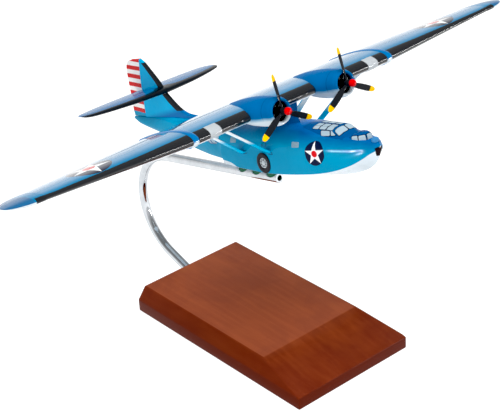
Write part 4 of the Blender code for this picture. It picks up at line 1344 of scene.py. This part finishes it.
def buildPropeller(side, sign):
    body = side + "_propeller"
    place = enginePlace(sign)
    hubPlace = place @ Matrix.Rotation(quarterTurn, 4, "X")
    turns = [math.radians(90.0 - propeller["phase"] - 120.0 * k) for k in range(propeller["blades"])]
    root = propeller["outline"][0][0]
    bm = bmesh.new()
    for angle in turns:
        turn = Matrix.Rotation(angle, 4, "Y")
        rings = []
        for k in range(41):
            out = root + (propeller["radius"] - 0.02 - root) * math.sin(quarterTurn * k / 40)
            chord, thick, twist = rowAt(propeller["outline"], out)
            if out > propeller["tipFrom"]:
                share = (out - propeller["tipFrom"]) / propeller["tipReach"]
                chord = propeller["tipChord"] * math.sqrt(max(1.0 - share**2, 0.01))
            rings.append([turn @ point for point in bladeRing(out, chord, thick, twist)])
        skin(bm, rings)
    dressed("propellerBlades_" + side, bm, "blade", 50.0, "propeller_" + side, place, body)
    r = propeller["hubRadius"]
    bore = propeller["bore"]
    back = propeller["hubBack"]
    front = propeller["barrelFront"]
    bm = bmesh.new()
    lathe(bm, (
        (bore, back), (r - 0.5, back), (r - 0.1, back + 0.5), (r - 0.1, 1.6), (r - 0.35, 1.9),
        (r - 0.35, 2.5), (r - 0.1, 2.7), (r - 0.1, front - 0.5), (r - 0.35, front - 0.2),
        (r - 0.35, front), (bore, front),
    ), 56)
    for angle in turns:
        cuff = Matrix.Rotation(-angle, 4, "Z") @ Matrix.Translation((0.0, 0.0, 0.1 * mm))
        cuff = cuff @ Matrix.Rotation(-quarterTurn, 4, "X")
        lathe(bm, propeller["cuff"], 28, cuff)
    dressed("propellerHub_" + side, bm, "blade", place=hubPlace, body=body)
    profile = [(bore, front - 0.05), (r - 0.1, front - 0.05), (r, front + 0.15), (r, front + 0.6)]
    for k in range(1, 17):
        a = quarterTurn * k / 16
        rise = (propeller["hubFront"] - front - 0.6) * math.sin(a)
        profile.append((max(r * math.cos(a) ** 0.8, 0.01), front + 0.6 + rise))
    lathed("propellerDome_" + side, profile, 56, "hubRed", 35.0, place=hubPlace, body=body)


tail = {
    "halfSpan": 61.7, "z": 7.6, "thickness": 5.4, "rootChord": 43.0, "points": 26, "hingeY": 187.5,
    "front": (
        (0.0, 163.5), (26.0, 167.0), (44.0, 172.5), (54.0, 177.0), (58.8, 180.4), (61.1, 184.8),
        (61.7, 190.0),
    ),
    "back": ((0.0, 206.0), (40.0, 205.0), (53.0, 203.2), (58.4, 201.4), (61.1, 197.6), (61.7, 193.0)),
    "boot": ((0.0, 12.5), (5.0, 12.0), (9.0, 6.8), (16.0, 5.2), (70.0, 3.8)), "bootBelow": 2.6,
}
# fin and rudder: (height, distance aft) pairs
fin = {
    "thickness": 4.2, "taper": 0.4, "taperFoot": -12.0, "foot": -16.0, "top": 32.0,
    "rudderFoot": -11.9, "rudderTop": 32.3, "gap": 0.15, "rearEdge": 0.22,
    "front": (
        (-16.0, 133.0), (-13.0, 136.0), (-11.0, 147.0), (-6.9, 155.7), (5.2, 168.3), (13.8, 173.4),
        (24.1, 181.8), (29.2, 186.4), (32.4, 191.5),
    ),
    "hinge": ((-16.0, 202.2), (-10.3, 201.7), (8.7, 198.0), (19.0, 195.4), (32.4, 191.4)),
    "back": (
        (-12.0, 219.4), (-6.3, 219.0), (3.4, 217.0), (11.4, 215.8), (19.3, 214.4), (27.4, 212.0),
        (31.0, 208.4), (32.4, 202.0),
    ),
    "boot": ((-9.0, 6.2), (30.0, 3.4)), "bootLow": -8.3, "bootHigh": 29.4,
}


def finThick(z):
    share = (z - fin["taperFoot"]) / (fin["top"] - fin["taperFoot"])
    return fin["thickness"] * (1.0 - fin["taper"] * share)


def finRing(z):
    front = through(fin["front"], z)
    back = through(fin["hinge"], z)
    ring = [(0.0, front, z)]
    for k in range(1, 27):
        t = k / 26
        half = finThick(z) / 2 * (1.0 - (1.0 - t) ** 3) ** 0.6
        ring.append((half, front + (back - front) * t * t, z))
    return ring + otherSide(ring[1:])


def rudderRing(z):
    front = through(fin["hinge"], z) + fin["gap"]
    back = through(fin["back"], z)
    half = finThick(z) / 2
    ring = [(0.0, front - 0.4, z), (half - 0.05, front, z)]
    for k in range(1, 15):
        t = k / 14
        ring.append((max(half * (1.0 - t), fin["rearEdge"]), front + (back - front) * t, z))
    return ring + otherSide(ring[1:])


def upright(name, ringAt, low, high, count, rise, finish, node, marks=None):
    # rings from low to high, the last one rounded off upward
    rings = [ringAt(low + (high - low) * k / count) for k in range(count + 1)]
    last = rings[-1]
    aft = [y for x, y, z in last]
    middle = (min(aft) + max(aft)) / 2
    for k in range(1, 7):
        a = quarterTurn * k / 6
        small = max(math.cos(a), 0.04)
        long = 0.7 + 0.3 * small
        rings.append([(x * small, middle + (y - middle) * long, z + rise * math.sin(a)) for x, y, z in last])
    lofted(name, rings, finish, 40.0, node, marks=marks)


def buildFin():
    def marks(ringIndex, pointIndex, point):
        x, y, z = point
        aft = y - (through(fin["front"], z) + straight(fin["boot"], z))
        return {"bootAft": max(aft, fin["bootLow"] - z, z - fin["bootHigh"])}

    upright("fin", finRing, fin["foot"], fin["top"], 70, 0.4, "fin", "fin", marks)
    upright("rudder", rudderRing, fin["rudderFoot"], fin["rudderTop"], 60, 0.3, "rudder", "rudder")


def buildTailplane(side, sign):
    steps = 46
    start = 0.02
    rings = []
    fronts = []
    for k in range(steps + 1):
        x = start + (tail["halfSpan"] - start) * math.sin(quarterTurn * k / steps)
        front = through(tail["front"], x)
        back = through(tail["back"], x) if k < steps else front + 0.8
        thin = tail["thickness"] / tail["rootChord"] * (1.0 - 0.15 * x / tail["halfSpan"])
        rings.append(airfoil(sign * x, back - front, front, tail["z"], thin, 0.0, 0.0, tail["points"]))
        fronts.append(front)

    def marks(ringIndex, pointIndex, point):
        x, y, z = point
        upper = skinSide(pointIndex, tail["points"])
        boot = straight(tail["boot"], abs(x)) if upper > 0 else tail["bootBelow"]
        return {"skinSide": upper, "bootAft": y - (fronts[ringIndex] + boot), "fromHinge": y - tail["hingeY"]}

    lofted("tailplane_" + side, rings, "tailplane", 30.0, "tailplane_" + side, marks=marks)


hull = buildHull()
hullSurface = surfaceOf(hull)
buildBase()
buildArm(hull)
buildFelt()
print("base, arm and felt built")
buildTurret()
buildCanopy()
buildHullBits(hullSurface)
print("hull, turret, canopy and windows built")
buildWing()
buildPylon()
buildFin()
print("wing, pylon and fin built")
for sideName, sideSign in sides:
    buildBlister(sideName, sideSign)
    buildWheel(sideName, sideSign, hullSurface)
    buildOutlines(sideName, sideSign, hullSurface)
    for which in ("front", "rear"):
        buildStrut(which, sideName, sideSign)
    buildNacelle(sideName, sideSign)
    buildEngine(sideName, sideSign)
    buildPropeller(sideName, sideSign)
    buildTailplane(sideName, sideSign)
print("engines, propellers, struts and tailplanes built")

studio = {
    "floorSize": 30.0, "floorWhite": 0.4, "floorGlow": 0.85, "black": 0.014,
    "horizon": 1.15, "frontHorizon": 0.8, "zenith": 0.28, "aim": (0.0, -0.05, 0.15),
    "overhead": {"at": (-0.25, -0.35, 1.6), "size": (1.5, 1.5), "power": 29.0, "mirrored": False},
    "frontFill": {"at": (-0.9, -1.5, 0.9), "size": (1.0, 0.7), "power": 3.4, "mirrored": False},
    # the strips only show in what mirrors them, the left one in the hull alone
    "leftStrip": {
        "at": (-1.1, 0.1, 0.395), "size": (1.4, 0.03), "power": 75.0, "mirrored": True, "only": hull,
    },
    "rightStrip": {"at": (0.8, -1.04, 0.235), "size": (0.9, 0.05), "power": 12.0, "mirrored": True},
}


def buildFloor():
    bm = bmesh.new()
    bmesh.ops.create_grid(bm, x_segments=8, y_segments=8, size=studio["floorSize"] / 2)
    data = bpy.data.meshes.new("studioFloor")
    bm.to_mesh(data)
    bm.free()
    made = Finish("studio_floor_white")
    white = (studio["floorWhite"],) * 3
    greyer = (studio["floorWhite"] * 0.985,) * 3
    made.give({
        "Base Color": made.noise(0.004, 2.0).ramp(0.3, 0.7).mix(white, greyer), "Roughness": 0.8,
        "Emission Color": (1.0, 1.0, 1.0), "Emission Strength": studio["floorGlow"],
    })
    data.materials.append(made.material)
    obj = bpy.data.objects.new("studioFloor", data)
    bpy.context.scene.collection.objects.link(obj)


def buildSky():
    world = bpy.data.worlds.new("studioSky")
    bpy.context.scene.world = world
    world.use_nodes = True
    tree = world.node_tree
    spot = step(tree, "TexCoord", {})["Generated"]
    x, y, z = (Amount(part) for part in step(tree, "SeparateXYZ", {0: spot}))
    front, rear, top = ((studio[name],) * 3 for name in ("frontHorizon", "horizon", "zenith"))
    rim = (x * 0.58 + y * 0.81).ramp(-0.2, 0.5).mix(front, rear)
    feed(tree.nodes["Background"].inputs["Color"], z.ramp(0.12, 0.5).mix(rim, top))


def addSoftbox(name):
    settings = studio[name]
    light = bpy.data.lights.new(name, "AREA")
    light.shape = "RECTANGLE"
    light.size, light.size_y = settings["size"]
    light.energy = settings["power"]
    obj = bpy.data.objects.new(name, light)
    bpy.context.scene.collection.objects.link(obj)
    obj.location = settings["at"]
    obj.visible_glossy = settings["mirrored"]
    obj.visible_diffuse = not settings["mirrored"]
    if "only" in settings:
        receivers = bpy.data.collections.new(name + "Receivers")
        receivers.objects.link(settings["only"])
        obj.light_linking.receiver_collection = receivers
    aim = Vector(studio["aim"]) - Vector(settings["at"])
    obj.rotation_euler = aim.to_track_quat("-Z", "Y").to_euler()


buildFloor()
buildSky()
for lightName in ("overhead", "frontFill", "leftStrip", "rightStrip"):
    addSoftbox(lightName)
view = bpy.context.scene.view_settings
view.view_transform = "Standard"
view.use_curve_mapping = True
view.curve_mapping.black_level = (studio["black"],) * 3
view.curve_mapping.update()
print("studio set")
